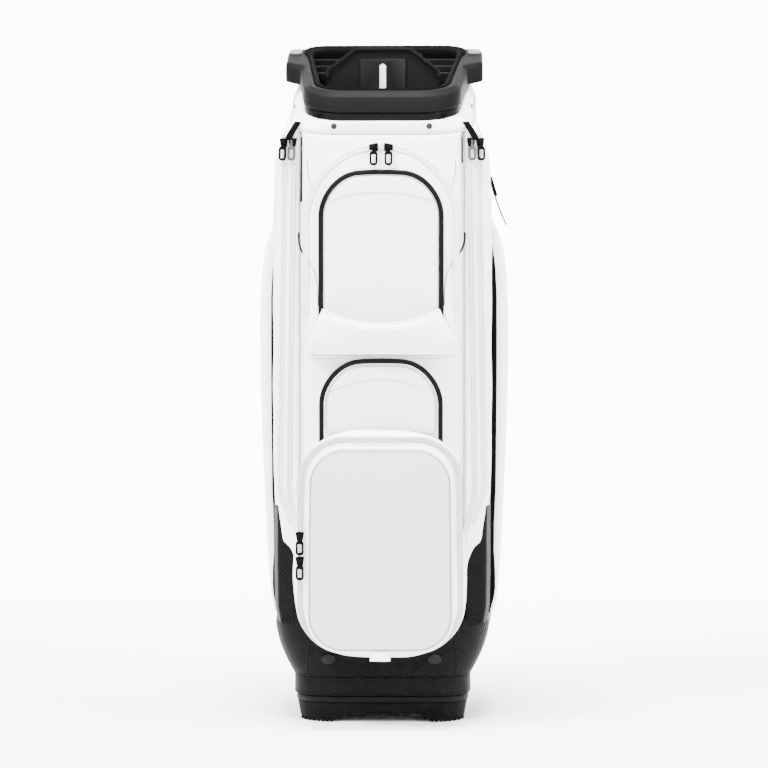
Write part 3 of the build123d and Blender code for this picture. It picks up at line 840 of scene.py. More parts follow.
def makeDividers():
    d = dividers
    under = lambda y: slantHeight(d["railUnder"], y) - 0.2
    sheets = []
    for k, y in enumerate(d["rows"]):
        half = insideHalf(y) - 0.3
        sheets.append(hungSheet("crossSheet", (-half, y), (half, y), under, d["low"], 20 + k))
    edges = [d["first"], *d["rows"], d["last"]]
    for k, ribs in enumerate(d["ribs"]):
        for x in ribs:
            last = min(edges[k + 1], 104.2)
            start, end = (x, edges[k] + 1.3), (x, last - 1.3)
            sheets.append(hungSheet("ribSheet", start, end, under, d["low"], 140 + k + int(x)))
    sheets.append(hungSheet("plateSheet", (-74, -43), (74, -43), lambda y: 811.6 + 0 * y, d["low"], 60))
    return joinPieces("dividerSheets", sheets)


dress(makeDividers(), "lining", "divider_sheets")
softCopy("stay_rods", "stayRods", "rod", 0.5)
print("dividers made")

# tube and base

shell = {"low": 60.4, "top": 771.0, "wall": 4.0}


def makeShell():
    low, top, wall = shell["low"], shell["top"], shell["wall"]
    heights = np.linspace(low, 740, 25)
    outer = ringPoints([bodyLoop(-0.2)] * 25, heights)
    rim = ringPoints([bodyLoop(-0.2), bodyLoop(-wall)], [top, top], True)
    inner = ringPoints([bodyLoop(-wall)] * 25, np.linspace(740, low, 25))
    return gridMesh("clubTube", np.concatenate([outer, rim, inner]), wrapAcross=True, wrapAlong=True, closed=True)


dress(makeShell(), "white", "main_shell")
sleeve = {"low": 62.0, "top": 740.0, "gap": 4.2, "thick": 1.0}


def makeSleeve():
    # dark lining inside the tube: the tube's outline made smaller, then the cuff's up to the mouth
    heights = np.linspace(sleeve["low"], sleeve["top"], 12)
    sides = []
    for gap, inset in ((sleeve["gap"], 0.932), (sleeve["gap"] + sleeve["thick"], 0.924)):
        loop, mouth = bodyLoop(-gap, 20, 30), cuffLoop(1.0) * inset
        neck = ringPoints([loop, mouth, mouth], [770.5, 774.0, 789.6], True)
        sides.append(np.concatenate([ringPoints([loop] * len(heights), heights), neck]))
    points = np.concatenate([sides[0], sides[1][::-1]])
    return gridMesh("innerSleeve", points, wrapAcross=True, wrapAlong=True, closed=True)


dress(makeSleeve(), "lining")
softCopy("base_tray", "baseTray", "base", 1.2)
softCopy("base_feet", "baseFeet", "rubber", 0.5)
padRows = [(0.02, 16.1), (0.6, 16.1), (0.985, 16.1), (1.0, 17), (1.0, 22), (0.985, 22.9), (0.6, 22.9), (0.02, 22.9)]
padPoints = ringPoints([baseLoop(-5.5) * scale for scale, _ in padRows], [height for _, height in padRows])
dress(gridMesh("floorPad", padPoints, wrapAcross=True, closed=True), "foam", "floor_pad")

band = {
    "stitches": (37.6, 57.0),
    "section": [(-0.6, 35.3), (5.2, 35.3), (5.9, 36.0), (6.15, 37.4), (5.85, 38.0), (6.2, 41.0), (6.3, 48.0),
                (6.2, 54.0), (5.85, 56.6), (6.15, 57.4), (6.1, 59.2), (5.4, 60.0), (-0.6, 60.0)],
}
dress(ringMesh("twillBand", band["section"], baseLoop, False), "twill", "base_band")
for height in band["stitches"]:
    path = resample(ringPath(baseLoop(6.15), height, False), 4.4, True)
    stitches("bandStitching", path, "piping", (0, -1, 0), 3.2, 4.4, 0.9, True, 0.15)
bindingSection = [(-0.6, 26.3), (2.6, 26.3), (3.5, 27.2), (3.9, 30.0), (3.7, 33.0), (3.0, 34.7), (-0.6, 34.7)]
dress(ringMesh("baseBinding", bindingSection, baseLoop, False), "leather", "base_binding")

skirt = {"low": 60.4, "top": 129.0}


def skirtLoop(t, out=0.0):
    # from the base's outline up to the flared one
    first = baseLoop(6.0 + out)
    last = trapezoid(140.5 + out, 149 + out, -119 - out, 124 + out, 62, 44)
    eased = math.sin(0.5 * math.pi * t) ** 0.9 * 0.72 + 0.28 * t
    return first * (1 - eased) + last * eased


def makeSkirt():
    heights = np.linspace(skirt["low"], skirt["top"], 22)
    t = (heights - skirt["low"]) / (skirt["top"] - skirt["low"])
    loops = [skirtLoop(v, 0.5 * math.sin(math.pi * v)) for v in t]
    rolled = [skirtLoop(1.0, out) for out in (-2.2, -6.5, -13.0, -19.0)]
    inner = [bodyLoop(0.5), bodyLoop(0.5)]
    levels = [*heights, *(skirt["top"] + np.array([3.0, 7.0, 10.0, 11.0])), skirt["top"] + 11.0, skirt["low"]]
    points = ringPoints(loops + rolled + inner, levels)
    return gridMesh("twillSkirt", points, wrapAcross=True, wrapAlong=True, closed=True)


skirtPiece = dress(makeSkirt(), "twill", "lower_skirt")
softCopy("skirt_badges", "skirtBadges", "badge", 0.5)
smileX = np.linspace(-96, 96, 90)
smile = atDepth(smileX, -125.0, 73 + 22 * (np.abs(smileX) / 96) ** 2.2)
smile = laidOn(skirtPiece, smile, lift=0.1)
dress(profileTube("skirtSeam", smile, 0.7, 6, False, 0.6), "piping")
smileStitch = laidOn(skirtPiece, smile + [0, -20, 2.6], lift=0.1)
stitches("skirtSeamStitching", smileStitch, "piping", length=3.0, spacing=4.4, width=0.9)
for side in (-1, 1):
    t = np.linspace(0, 1, 30)
    corner = atDepth(side * (110.5 - 9 * t + 3 * t * (1 - t)), -140.0, 61 + 58 * t)
    corner = laidOn(skirtPiece, corner, (-side * 0.35, 1, 0), 0.15)
    dress(profileTube("skirtCornerSeam", corner, 0.9, 6, False, 0.7), "piping")
print("base made")

# front of the body

wrap = {"half": 104.0, "lower": (129.0, 481.0), "upper": (481.6, 770.6), "puff": 1.2}


def makeWrap(name, low, top, slanted, seed):
    # padded sheet round the front of the tube: front surface from the corner arcs, back on the tube
    s = np.linspace(-1, 1, 61)
    x = wrap["half"] * s
    y = frontY(x)
    cornerDepth = np.sqrt(np.maximum(50.4**2 - np.clip(np.abs(x) - 66, 0, 50) ** 2, 0))
    backY = np.minimum(-66 - cornerDepth, y + 1.5)
    v = np.linspace(0, 1, 70)[:, None]
    topZ = slantHeight(top, y) if slanted else np.full(len(x), top)
    z = low + (topZ[None] - low) * v
    ease = np.sin(np.pi * np.clip(v, 0.001, 0.999)) ** 0.25 * (1 - np.abs(s[None]) ** 8) ** 0.5
    swell = wrap["puff"] * ease + 0.45 * softNoise(x[None], z, seed, 42.0) * ease
    front = np.dstack([np.broadcast_to(x, z.shape), y[None] - swell + 1.0, z])
    back = np.dstack([np.broadcast_to(x * 0.985, z.shape), np.broadcast_to(backY, z.shape), z])
    return slabMesh(name, front, back)


upperWrap = dress(makeWrap("upperFrontFabric", *wrap["upper"], True, 5), "white", "upper_front_panel")
lowerWrap = dress(makeWrap("lowerFrontFabric", *wrap["lower"], False, 6), "white", "lower_front_panel")

seamX = np.linspace(-103, 103, 100)
seamLine = np.column_stack([seamX, frontY(seamX) - 0.9, np.full(100, 481.3)])
dress(profileTube("frontSeamFold", seamLine, 1.3, 8, False, 0.7), "white")

upperPocket = {
    "half": 103.0, "low": 487.0, "top": 760.0, "corner": 101.0,
    "front": -146.0, "back": -125.4, "edge": 9.0, "crown": 1.2,
}
u = upperPocket
upperPocketPiece = pocketMesh(
    "upperPocket", archOutline(u["half"] - 0.5, u["low"], u["top"] - 0.5, u["corner"]),
    u["back"], u["front"] + 1.0,
    edge=u["edge"], bulge=0.6, crown=u["crown"], seed=11, wrinkle=0.7)
dress(inflate(upperPocketPiece, 5.0, 3.0, 2.5), "white", "upper_pocket")

upperPanel = {
    "half": 74.6, "low": 492.0, "top": 717.6, "corner": 47.0, "crown": 7.0, "front": -151.5,
    "flap": (695.0, 684.0), "stitch": 667.0,
}
flapInset = 6.8
p = upperPanel
upperPanelPiece = pocketMesh(
    "upperPocketPanel", archOutline(p["half"], p["low"], p["top"], p["corner"], p["crown"]),
    u["front"], p["front"] + 0.6,
    edge=4.0, bulge=0.3, crown=1.4, seed=12, wrinkle=0.35)
# the panel's darker white is painted shade
dress(upperPanelPiece, "whitePaintedShade", "upper_pocket_panel")


def flapEdge(name, arch, panel, tuck):
    # upper flap that overlaps the panel, its lower edge curved
    half = arch["half"] - flapInset
    high, low = arch["flap"]
    x = np.linspace(-half, half, 60)
    edgeZ = high - (high - low) * (np.abs(x) / half) ** 2.2
    v = np.linspace(0, 1, 12)[:, None]
    topZ = archTopZ(arch, x) - tuck
    z = edgeZ[None] + (topZ - edgeZ)[None] * v
    flat = np.dstack([np.broadcast_to(x, z.shape), np.full(z.shape, -175.0), z])
    laid = laidOn(panel, flat.reshape(-1, 3), (0, 1, 0), 0.0).reshape(flat.shape)
    lift = 1.0 * (1 - v) ** 0.5 + 0.25
    front = laid - np.dstack([0 * z, lift + 0 * z, 0 * z])
    return slabMesh(name, front, laid + [0, 0.2, 0])


def archTopZ(arch, x):
    # height of the arch's crowned top at x
    corner = arch["corner"]
    inner = arch["half"] - corner
    drop = corner - np.sqrt(np.maximum(corner**2 - np.clip(np.abs(x) - inner, 0, corner) ** 2, 0))
    return arch["top"] - arch["crown"] * (x / arch["half"]) ** 2 - drop


dress(flapEdge("upperFlap", p, upperPanelPiece, 2.5), "whitePaintedShade")
flapHalf = p["half"] - flapInset
x = np.linspace(-flapHalf + 2, flapHalf - 2, 60)
panelStitch = laidOn(upperPanelPiece, atDepth(x, -180.0, p["stitch"] + 1.0 * np.cos(x / 50)), lift=0.0)
stitches("panelStitching", panelStitch, "thread", spacing=3.0, length=2.0, width=0.6)

piping = {
    "radius": 3.3, "upper": (78.2, 490, 721.4, 50, 7, -149.4), "middle": (77.3, 366, 476.6, 50, 7, -153.0),
}


def openArch(half, low, top, corner, crown, y, steps=30):
    # left leg, left corner, crowned top, right corner, right leg
    shoulder = top - crown
    a = np.linspace(0, math.pi / 2, steps)
    left = np.column_stack([-half + corner * (1 - np.cos(a)), shoulder - corner + corner * np.sin(a)])
    across = np.linspace(-half + corner, half - corner, 20)[1:-1]
    right = left[::-1] * [-1, 1]
    legLeft = np.column_stack([np.full(20, -half), np.linspace(low, shoulder - corner, 21)[:-1]])
    legRight = legLeft[::-1] * [-1, 1]
    flat = np.concatenate([legLeft, left, np.column_stack([across, np.full(len(across), shoulder)]), right, legRight])
    flat[:, 1] += crown * (1 - (flat[:, 0] / half) ** 2) * smooth(shoulder - corner, shoulder, flat[:, 1])
    return atDepth(flat[:, 0], y, flat[:, 1])


arches = [openArch(*piping[run]) for run in ("upper", "middle")]
pipes = [profileTube("piping", arch, piping["radius"], 14, False, 0.82) for arch in arches]
dress(joinPieces("pocketPiping", pipes), "piping", "pocket_piping")

upperTrack = {"radius": 98.0, "centreZ": 656.0, "legLow": 536.0, "y": -146.9}


def arcTrack(radius, y, low):
    a = np.linspace(math.pi, 0, 90)
    arc = atDepth(radius * np.cos(a), y, upperTrack["centreZ"] + radius * np.sin(a))
    legZ = np.linspace(low, upperTrack["centreZ"], 30)[:-1]
    left = atDepth(np.full(29, -radius), y, legZ)
    return np.concatenate([left, arc, left[::-1] * [-1, 1, 1]])


t = upperTrack
upperTrackPieces = [
    profileTube("trackFold", arcTrack(t["radius"] + 2.2, t["y"], t["legLow"]), 1.5, 8, False, 0.72),
    profileTube("trackFold", arcTrack(t["radius"] - 2.2, t["y"], t["legLow"]), 1.5, 8, False, 0.72),
    beadRow("trackTeeth", arcTrack(t["radius"], t["y"] - 0.3, t["legLow"]), (1.0, 2.6, 1.2), 1.6),
]
dress(joinPieces("upperZipperTrack", upperTrackPieces), "coil", "upper_track")
archWelt = arcTrack(t["radius"] - 9.5, -147.2, 520)
dress(profileTube("upperPocketWelt", archWelt, 0.8, 6, False, 0.6), "white")

pouch = {"low": 485.0, "front": -186.0, "back": -153.9, "rim": (544.0, 524.0), "rimHalf": 76.0, "wall": 2.0}


def makePouch():
    # cloth that bellies out below a sagging rim: width and depth follow the height
    s = np.linspace(-1, 1, 70)
    v = np.linspace(0, 1, 40)[:, None]
    rimZ = pouch["rim"][1] + (pouch["rim"][0] - pouch["rim"][1]) * s**2
    z = pouch["low"] + (rimZ[None] - pouch["low"]) * v
    half = np.interp(v[:, 0], [0, 0.06, 0.18, 0.35, 0.75, 1.0], [83, 90, 95, 94.5, 83, pouch["rimHalf"]])[:, None]
    x = half * s[None]
    belly = np.interp(v[:, 0], [0, 0.1, 0.3, 0.52, 0.78, 0.9, 1.0], [0.1, 0.3, 0.6, 0.83, 1.0, 0.97, 0.86])[:, None]
    across = (1 - np.abs(s[None]) ** 2.6) ** 0.6
    depth = (pouch["back"] - pouch["front"]) * belly * across
    gathers = 1.3 * np.exp(-((s[None] - 0.86) / 0.09) ** 2) * np.sin(z / 7.0) * (1 - v) * 0.4
    folds = 0.9 * softNoise(x, z, 31, 26.0) * across + gathers
    y = pouch["back"] - depth - folds
    front = np.dstack([x, y, z])
    inner = front + np.dstack([0 * x, np.minimum(pouch["wall"], 0.4 + depth * 0.5), 0 * z])
    return slabMesh("dropPouch", front, inner)


pouchPiece = dress(makePouch(), "white", "drop_pouch")
rimS = np.linspace(-0.97, 0.97, 80)
rimY = pouch["back"] - 32.1 * 0.86 * (1 - np.abs(rimS) ** 2.6) ** 0.6
rimPath = np.column_stack([pouch["rimHalf"] * rimS, rimY, pouch["rim"][1] + 20 * rimS**2])
dress(profileTube("pouchRim", rimPath, 1.5, 10, False, 0.9), "white")

middlePocket = {
    "half": 73.6, "low": 381.0, "top": 473.1, "corner": 46.6, "crown": 7.0, "front": -154.0, "flap": (452.0, 436.0),
}
m = middlePocket
middleOutline = archOutline(m["half"], m["low"], m["top"], m["corner"], m["crown"])
middlePiece = pocketMesh(
    "middlePocket", middleOutline, -125.4, m["front"] + 1.2, edge=5.0, bulge=0.4, crown=1.6, seed=13, wrinkle=0.4)
# the middle pocket's darker white is painted shade
dress(inflate(middlePiece, 5.0, 3.0, 2.0), "whitePaintedShade", "middle_pocket")
dress(flapEdge("middleFlap", m, middlePiece, 2.8), "whitePaintedShade")

lowerPocket = {"front": -200.0, "back": -125.5, "edge": 7.0, "panelFront": -211.0}
lowerCorners = [(-106.5, 97), (106.5, 97), (111, 180), (100.5, 383), (-100.5, 383), (-111, 180)]
lowerPiece = pocketMesh(
    "lowerPocket", roundedOutline(lowerCorners, [66, 66, 60, 56, 56, 60], 22, 26), lowerPocket["back"],
    lowerPocket["front"] + 0.6, edge=lowerPocket["edge"], bulge=1.8, crown=0.6, seed=14, wrinkle=0.8)
dress(inflate(lowerPiece, 6.0, 3.0, 3.0), "white", "lower_pocket")


def panelOutline(lowHalf, highHalf, low, top, corner, edgeSteps=40):
    corners = [(-lowHalf, low), (lowHalf, low), (highHalf, top), (-highHalf, top)]
    return roundedOutline(corners, [corner] * 4, 22, edgeSteps)


lowerPanelPiece = pocketMesh(
    "lowerPocketPanel", panelOutline(92.5, 90, 105, 363, 45), lowerPocket["front"] - 0.2,
    lowerPocket["panelFront"] + 4.2, edge=4.0, bulge=0.3, crown=3.4, seed=15, wrinkle=0.25)
# the lower panel's grey is painted shade on white fabric
dress(lowerPanelPiece, "whiteDeeperPaintedShade", "lower_pocket_panel")
edgePath = panelOutline(94.2, 91.8, 103.2, 365, 47)
dress(profileTube("panelEdgePiping", atDepth(edgePath[:, 0], -201.6, edgePath[:, 1]), 1.9, 10, True, 0.9), "white")


def lowerTrackPath(inset, y):
    # up the left side, over the top and down the right side, just inside the pocket's edge
    a = np.linspace(0, math.pi / 2, 30)
    low = np.column_stack([44 + (59 - inset) * np.sin(a), 163 - (59 - inset) * np.cos(a)])
    rise = np.column_stack([np.full(30, 103 - inset), np.linspace(165, 306, 30)])
    turn = np.column_stack([45 + (57.6 - inset) * np.cos(a), 320 + (57 - inset) * np.sin(a)])
    right = np.concatenate([low, rise, turn])
    path = np.concatenate([right, right[::-1] * [-1, 1]])
    return atDepth(path[:, 0], y, path[:, 1])


lowerTrackPieces = [
    beadRow("teeth", lowerTrackPath(-side * 1.4, -201.0), (1.7, 3.0, 2.0), 3.2, lean=side * 0.3) for side in (1, -1)
]
dress(joinPieces("lowerZipperTrack", lowerTrackPieces), "coil", "lower_track")
dress(profileTube("lowerZipperTape", resample(lowerTrackPath(0, -199.9), 4.0), 3.6, 8, False, 0.22), "tape")

# a dark grey cord round the lower panel's inset: a painted shadow line for the crease
panelCreaseShadow = panelOutline(91.0, 88.6, 106.4, 361.6, 44, 60)
panelCreaseShadow = laidOn(lowerPanelPiece, atDepth(panelCreaseShadow[:, 0], -260.0, panelCreaseShadow[:, 1]), lift=0.05)
dress(profileTube("panelCreaseShadow", panelCreaseShadow, 0.55, 6, True, 0.8), "greyThread")

tabX, tabZ = np.meshgrid(np.linspace(-13, 13, 12), np.linspace(91.5, 104.5, 8))
tabFront = np.dstack([tabX, -204.6 + 1.2 * (np.abs(tabX) / 13) ** 4 + 0 * tabX, tabZ])
dress(slabMesh("pocketEndTab", tabFront, tabFront + [0, 5.5, 0]), "white")
print("front pockets made")

# sides

sidePocket = {
    "z": (188, 200, 215, 240, 270, 300, 380, 480, 560, 640, 690, 720, 744, 762, 785, 820),
    "x": (117.5, 124, 131, 138.6, 142, 143.6, 144.4, 144.8, 144.8, 144.6, 144.2, 143.2, 141.4, 136.2, 127.6, 122.5),
}
sidePlan = roundedOutline(
    [(107, -60), (109, -102.5), (138, -94), (144, -74), (144, 8), (118, 8)], [3, 4, 9, 9, 6, 3], 10, 14)


def mirroredPiece(name, piece):
    other = piece.data.copy()
    other.vertices.foreach_set("co", (vertexArray(piece) * [-1, 1, 1]).ravel())
    other.flip_normals()
    return addObject(name, other)


def bothSides(name, piece, finish, rightNode, leftNode):
    # the right piece and its mirror image on the left
    left = mirroredPiece(name + "Left", piece)
    piece.name = name + "Right"
    for side, node in ((piece, rightNode), (left, leftNode)):
        dress(side, finish, node)
    return piece, left


sideHeights = np.concatenate([np.linspace(189, 300, 22), np.linspace(306, 690, 60), np.linspace(694, 770, 20)])
sideRight = uprightLoft("sidePocket", sidePlan, sideHeights, sidePocket, bulge=0.9, seed=3, slantTop=770.4)
sideRight, sideLeft = bothSides("sidePocket", sideRight, "white", "side_pocket_right", "side_pocket_left")

faceAngle = math.atan2(10.0, 31.5)
faceAcross = np.array([math.cos(faceAngle), math.sin(faceAngle), 0])
faceOut = np.array([math.sin(faceAngle), -math.cos(faceAngle), 0])


sideTrack = {"u": (9.5, 22.0), "drift": 8.0, "straightLow": 300.0, "high": 774.0, "end": (236.0, 262.0), "sweep": 17.0}


def facePath(u, low, out, side):
    # down the side pocket's front face: straight with a slight drift, then in along its curved foot
    z = np.linspace(low, sideTrack["high"], 130)
    drift = sideTrack["drift"] * (sideTrack["high"] - z) / (sideTrack["high"] - sideTrack["straightLow"])
    sweep = sideTrack["sweep"] * smooth(318.0, low - 6, z) ** 1.4
    across = u + np.minimum(drift, sideTrack["drift"]) - sweep
    path = np.array([106.5, -104.0, 0]) + across[:, None] * faceAcross + out * faceOut + atDepth(0 * z, 0, z)
    return path * [side, 1, 1]


sideTracks = []
for side in (1, -1):
    out = faceOut * [side, 1, 1]
    for uMiddle, low in zip(sideTrack["u"], sideTrack["end"]):
        for shift in (-2.2, 2.2):
            fold = facePath(uMiddle + shift, low, 0.9, side)
            sideTracks.append(profileTube("fold", fold, 1.9, 8, False, 0.75, -out))
        sideTracks.append(beadRow("teeth", facePath(uMiddle, low, 1.5, side), (1.0, 2.4, 1.1), 1.9, out))
dress(joinPieces("sideZipperTracks", sideTracks), "coil", "side_tracks")

frontSurfaces = [upperPocketPiece, upperWrap, lowerWrap, sideRight, sideLeft]


def frontSeam(name, corners, radius, finish, count=40):
    # a thin cord laid on the front, its corners joined by a smoothed line
    corners = np.array(corners, float)
    t = np.linspace(0, 1, len(corners))
    x, z = (np.interp(np.linspace(0, 1, count), t, corners[:, k]) for k in (0, 1))
    for _ in range(6):
        x[1:-1] = (x[:-2] + 2 * x[1:-1] + x[2:]) / 4
        z[1:-1] = (z[:-2] + 2 * z[1:-1] + z[2:]) / 4
    path = laidOn(frontSurfaces, atDepth(x, -240.0, z), lift=0.15)
    missed = path[:, 1] < -230
    path[missed, 1] = frontY(path[missed, 0]) - 0.6
    return dress(profileTube(name, path, radius, 8, False, 0.8), finish)


wingCorners = [(109.0, -106.5, 644), (108.8, -110, 636), (107.6, -120, 629), (105.6, -133, 623), (102.6, -143.5, 618),
               (99.5, -146.6, 614)]
seams = (
    ("wingSeam", [(99.2, 613.6), (92, 604), (85, 590), (82.5, 572), (82, 548)], 0.6, "greyThread"),
    ("shoulderSeam", [(97, 738), (96.5, 722), (94, 710), (89, 697)], 0.5, "greyThread"),
    ("bodyCornerSeam", [(99, 481), (102.4, 462), (103.4, 440), (102, 410), (100, 384)], 0.9, "white"),
)
# the black corner slit cords are painted shadow for the gap between the front and each side pocket, longer on the left;
# the wing cords are piping
for side, slitLow in ((-1, 684.0), (1, 738.0)):
    slitCorners = [(104.6, -109.5, 769), (105.0, -109.0, 735), (105.8, -108.4, slitLow)]
    for name, corners, spacing in (("cornerSlitShadow", slitCorners, 3.0), ("pocketWing", wingCorners, 2.0)):
        line = resample(np.array(corners) * [side, 1, 1], spacing)
        dress(profileTube(name, line, 1.5, 8, False, 0.8), "piping")
    for name, corners, radius, finish in seams:
        frontSeam(name, [(side * x, z) for x, z in corners], radius, finish)

gusset = {
    "z": (130, 150, 165, 190, 215, 255, 300, 430, 560, 600, 640, 665, 690, 700),
    "x": (143, 149, 151, 151, 149.4, 149.6, 151.6, 152.8, 152.8, 151, 145.5, 139, 128, 122.5),
}
gussetPlan = roundedOutline([(118, 9.9), (152, 9.9), (152, 22.1), (118, 22.1)], [2, 5, 5, 2], 8, 8)
gussetRight = uprightLoft("gussetStrip", gussetPlan, np.linspace(132, 698, 90), gusset, 116.0, 152.0, bulge=0.3, seed=8)
gussetLeft = mirroredPiece("gussetLeft", gussetRight)
dress(joinPieces("gussetStrips", [gussetRight, gussetLeft]), "dark", "gusset_strips")

rearPocket = {
    "z": (131, 150, 200, 260, 330, 400, 470, 540, 590, 623, 650, 672, 679),
    "x": (149, 153, 158, 161, 164.5, 167, 168.3, 168.3, 166.5, 163, 155, 142, 128),
}
rearPlan = roundedOutline([(119, 24), (168, 24), (168, 92), (149, 113), (118, 113)], [3, 9, 22, 16, 3], 12, 16)
rearHeights = np.concatenate([np.linspace(133, 600, 80), np.linspace(606, 677, 18)])
rearPiece = uprightLoft("rearPocket", rearPlan, rearHeights, rearPocket, 116.0, 168.0, bulge=1.2, seed=9)
bothSides("rearPocket", rearPiece, "white", "rear_pocket_right", "rear_pocket_left")

lowerSide = {"z": (129, 150, 200, 284), "x": (139.2, 143, 143.6, 143.9)}
lowerSidePlan = roundedOutline(
    [(107, -60), (109, -101.2), (137.6, -92.8), (143.6, -73.4), (143.6, 7.6), (118, 7.6)], [3, 4, 9, 9, 6, 3], 10, 14)
lowerHeights = np.linspace(128.4, 284, 60)
lowerSidePiece = uprightLoft("lowerSideTwill", lowerSidePlan, lowerHeights, lowerSide, bulge=0.4, seed=17)
bothSides("lowerSideTwill", lowerSidePiece, "twill", "lower_side_right", "lower_side_left")
print("sides made")

# rear

spine = {"half": 52.0, "low": 135.0, "top": 755.0, "front": 118.4, "channels": (250.0, 390.0, 530.0, 660.0)}


def makeSpine():
    half, low, top = spine["half"], spine["low"], spine["top"]
    outline = roundedOutline([(-half, low), (half, low), (half, top), (-half, top)], [18] * 4, 12, 60)
    points = pocketPoints(outline, 0.0, -8.4, edge=4.0, bulge=0.3, crown=1.2, seed=21, wrinkle=0.2)
    channel = sum(np.exp(-((points[..., 2] - z) / 3.2) ** 2) for z in spine["channels"])
    face = smooth(-4.0, -8.4, points[..., 1])
    points[..., 1] = points[..., 1] + 2.6 * channel * face
    points = points * [1, -1, 1] + [0, spine["front"] + 0.4, 0]
    return gridMesh("spinePad", points[:, ::-1], wrapAcross=True, closed=True)


dress(makeSpine(), "lining", "spine_panel")

handleSide = [(128.6, 318), (133, 322), (140, 328), (144, 340), (145.2, 365), (145.4, 390), (145.2, 415), (144, 440),
              (140, 452), (133, 458), (128.6, 462)]
handlePath = resample([(0, y, z) for y, z in handleSide], 3.0)
dress(profileTube("rearHandle", handlePath, 14.6, 16, False, 0.15, (0, 1, 0)), "webbing", "rear_handle")

strap = {"front": 138.0, "rear": 149.0, "upper": (716.0, 648.0), "lower": (668.0, 584.0), "half": 118.0}


def makeStrap():
    # band between two hanging arcs, thicker along its middle, with a pressed edge
    s = np.linspace(-1, 1, 90)
    v = np.linspace(0, 1, 26)[:, None]
    x = strap["half"] * s[None] + 0 * v
    upper = strap["upper"][1] + (strap["upper"][0] - strap["upper"][1]) * s[None] ** 2
    lower = strap["lower"][1] + (strap["lower"][0] - strap["lower"][1]) * s[None] ** 2
    z = lower + (upper - lower) * v
    edge = np.minimum(v, 1 - v)
    pad = smooth(0.0, 0.34, edge) - 0.28 * np.exp(-((edge - 0.15) / 0.035) ** 2)
    taper = 1 - 0.6 * smooth(0.86, 1.0, np.abs(s[None]))
    half = 5.2 * (0.3 + 0.7 * pad) * taper
    middle = (strap["front"] + strap["rear"]) / 2
    front = np.dstack([x, middle - half, z])
    back = np.dstack([x, middle + half, z])
    return slabMesh("shoulderStrap", back, front)


dress(makeStrap(), "dark", "shoulder_strap")


def ribbon(name, path, width, thickness, wide):
    # flat strap along a path; wide is the direction of its width at each point
    path = np.asarray(path, float)
    wide = np.broadcast_to(np.asarray(wide, float), path.shape)
    ahead = np.gradient(path, axis=0)
    ahead /= np.linalg.norm(ahead, axis=1, keepdims=True)
    normal = np.cross(ahead, wide)
    normal /= np.linalg.norm(normal, axis=1, keepdims=True)
    v = np.linspace(-0.5, 0.5, 7)
    half = thickness / 2 * (1 - 0.35 * (2 * v) ** 6)
    face = path[:, None] + v[None, :, None] * width * wide[:, None]
    lift = half[None, :, None] * normal[:, None]
    return slabMesh(name, face + lift, face - lift)


def spread(points, count):
    # the given number of points, evenly spaced over the numbers of the corners
    points = np.array(points, float)
    last = len(points) - 1
    at = np.linspace(0, last, count)
    return np.column_stack([np.interp(at, np.arange(last + 1), points[:, k]) for k in range(3)])


def makeWebbing():
    corner = [(116, 143.4, 692), (120, 143.4, 692), (124, 142.6, 692), (126.6, 140, 692),
              (127.6, 136, 692), (127.6, 120, 692), (127.6, 90, 692), (127.6, 58, 692)]
    hang = [(127.6, 46, 696), (127.6, 46, 720), (127.4, 46, 745), (127.0, 46, 771)]
    bands = []
    for side in (1, -1):
        for path, width, wide in ((corner, 25, (0, 0, 1)), (hang, 22, (0, 1, 0))):
            bands.append(ribbon("band", np.array(path) * [side, 1, 1], width, 1.9, wide))
    return joinPieces("strapWebbing", bands)


dress(makeWebbing(), "webbing", "strap_webbing")
tail = spread([(131, 36, 765), (136, 30, 745), (142.5, 24, 722), (148.5, 22, 702), (153.5, 25, 686), (159.5, 30, 671),
               (166, 36, 657)], 40)
dress(ribbon("strapTail", tail, 14, 2.0, (0, 1, 0)), "webbing")
dress(ribbon("strapTailLock", tail[13:23] + [1.2, 0, 0], 18, 5.0, (0, 1, 0)), "pull")
softCopy("strap_buckles", "strapBuckles", "pull", 0.6)

garageWidth = 9.0
garageCorners = [(109.5, -105.0, 789), (113.5, -104.8, 783), (117.5, -104.0, 777), (121.0, -103.0, 771),
                 (123.5, -102.2, 765)]
for side in (1, -1):
    wide = np.array([0.95, 0.3, 0.12]) * [side, 1, 1]
    path = spread(garageCorners, 24) * [side, 1, 1]
    dress(ribbon("zipperGarage", path, garageWidth, 2.2, wide / np.linalg.norm(wide)), "webbing")

# sliders and pulls

zippers = ("upper_right", "upper_left", "lower_top", "lower_bottom",
           "side_front_right", "side_front_left", "side_rear_right", "side_rear_left")
for zipper in zippers:
    first, *rest = zipper.split("_")
    plain = first + "".join(word.capitalize() for word in rest)
    pullFinish = "greyPull" if zipper.startswith("side_front") else "pull"
    softCopy(zipper + "_slider", plain + "Slider", "pull", 0.35, zipper + "_slider")
    softCopy(zipper + "_pull", plain + "Pull", pullFinish, 0.35, zipper + "_pull")
print("zippers made")

# floor, light and camera

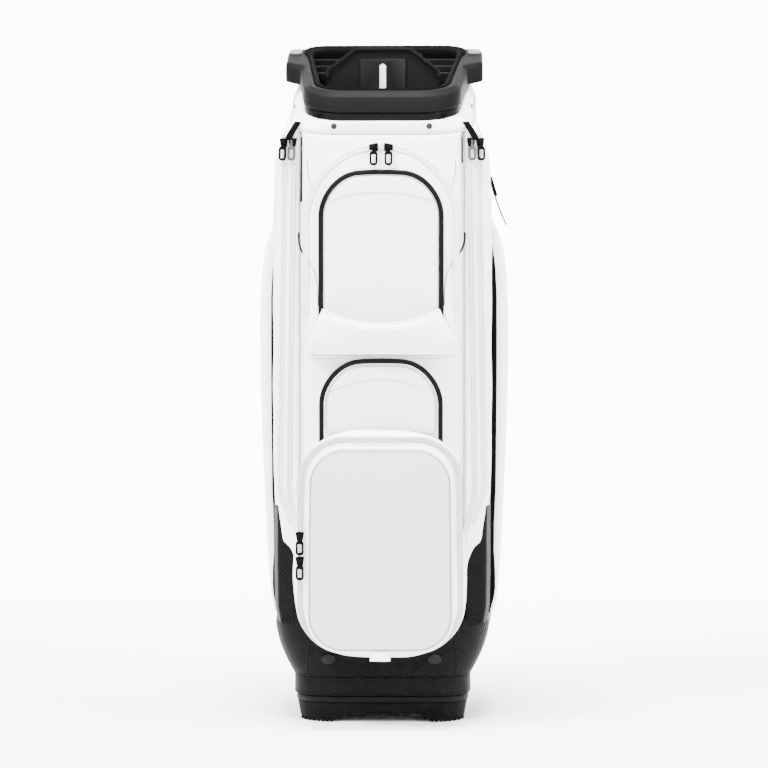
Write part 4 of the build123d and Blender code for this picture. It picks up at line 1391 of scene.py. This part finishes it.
def makeFloor():
    x, y = np.meshgrid(np.linspace(-6, 6, 40), np.linspace(-6, 8, 60))
    z = np.where(y > 3, 0.5 * (y - 3) ** 2 * 0.6, 0.0)
    mesh = bpy.data.meshes.new("floor")
    rows, columns = x.shape
    i, j = np.meshgrid(np.arange(rows - 1), np.arange(columns - 1), indexing="ij")
    k = (i * columns + j).ravel()
    faces = np.stack([k, k + 1, k + columns + 1, k + columns], 1)
    mesh.from_pydata(np.stack([x, y, z], -1).reshape(-1, 3).tolist(), [], faces.tolist())
    shadeSmooth(mesh)
    floor = addObject("floor", mesh)
    pale = Finish("pale floor", Specular_IOR_Level=0.2)
    tone = pale.noise(pale.place(), 2.0)
    pale.feed("Base Color", pale.blend(tone, (0.86, 0.86, 0.86), (0.9, 0.9, 0.9)))
    pale.feed("Roughness", 0.8 + 0.1 * tone)
    floor.data.materials.append(pale.material)
    return floor


makeFloor()

lights = {
    "key": ((-2.0, -2.2, 3.6), 560.0, 0.9),
    "fill": ((2.8, -2.0, 2.6), 250.0, 1.2),
    "front": ((0.3, -4.6, 2.2), 60.0, 2.0),
    "top": ((0.0, -0.7, 3.8), 620.0, 1.2),
    "backdropLeft": ((-2.6, 1.6, 2.6), 1300.0, 2.4),
    "backdropRight": ((2.6, 1.6, 2.6), 1300.0, 2.4),
}
for name, (spot, power, size) in lights.items():
    lamp = bpy.data.lights.new(name, "AREA")
    lamp.energy, lamp.size = power, size
    holder = addObject(name, lamp)
    holder.location = spot
    target = Vector((0, 6.5, 2.0)) if name.startswith("backdrop") else Vector((0, 0, 0.45))
    holder.rotation_euler = (target - Vector(spot)).to_track_quat("-Z", "Y").to_euler()

world = bpy.data.worlds.new("studio")
world.use_nodes = True
world.node_tree.nodes["Background"].inputs["Color"].default_value = (1, 1, 1, 1)
world.node_tree.nodes["Background"].inputs["Strength"].default_value = 2.0
bpy.context.scene.world = world

viewpoint = {"lens": 139.0, "distance": 4.0, "height": 0.56, "turn": 1.3, "aim": (0.0005, 0.031, 0.442)}
eye = bpy.data.cameras.new("camera")
eye.lens = viewpoint["lens"]
eye.sensor_width = 36.0
eye.clip_end = 100.0
camera = addObject("camera", eye)
turn = math.radians(viewpoint["turn"])
away = viewpoint["distance"]
camera.location = (away * math.sin(turn), viewpoint["aim"][1] - away * math.cos(turn), viewpoint["height"])
camera.rotation_euler = (Vector(viewpoint["aim"]) - camera.location).to_track_quat("-Z", "Y").to_euler()
bpy.context.scene.camera = camera
print("camera and lights set")
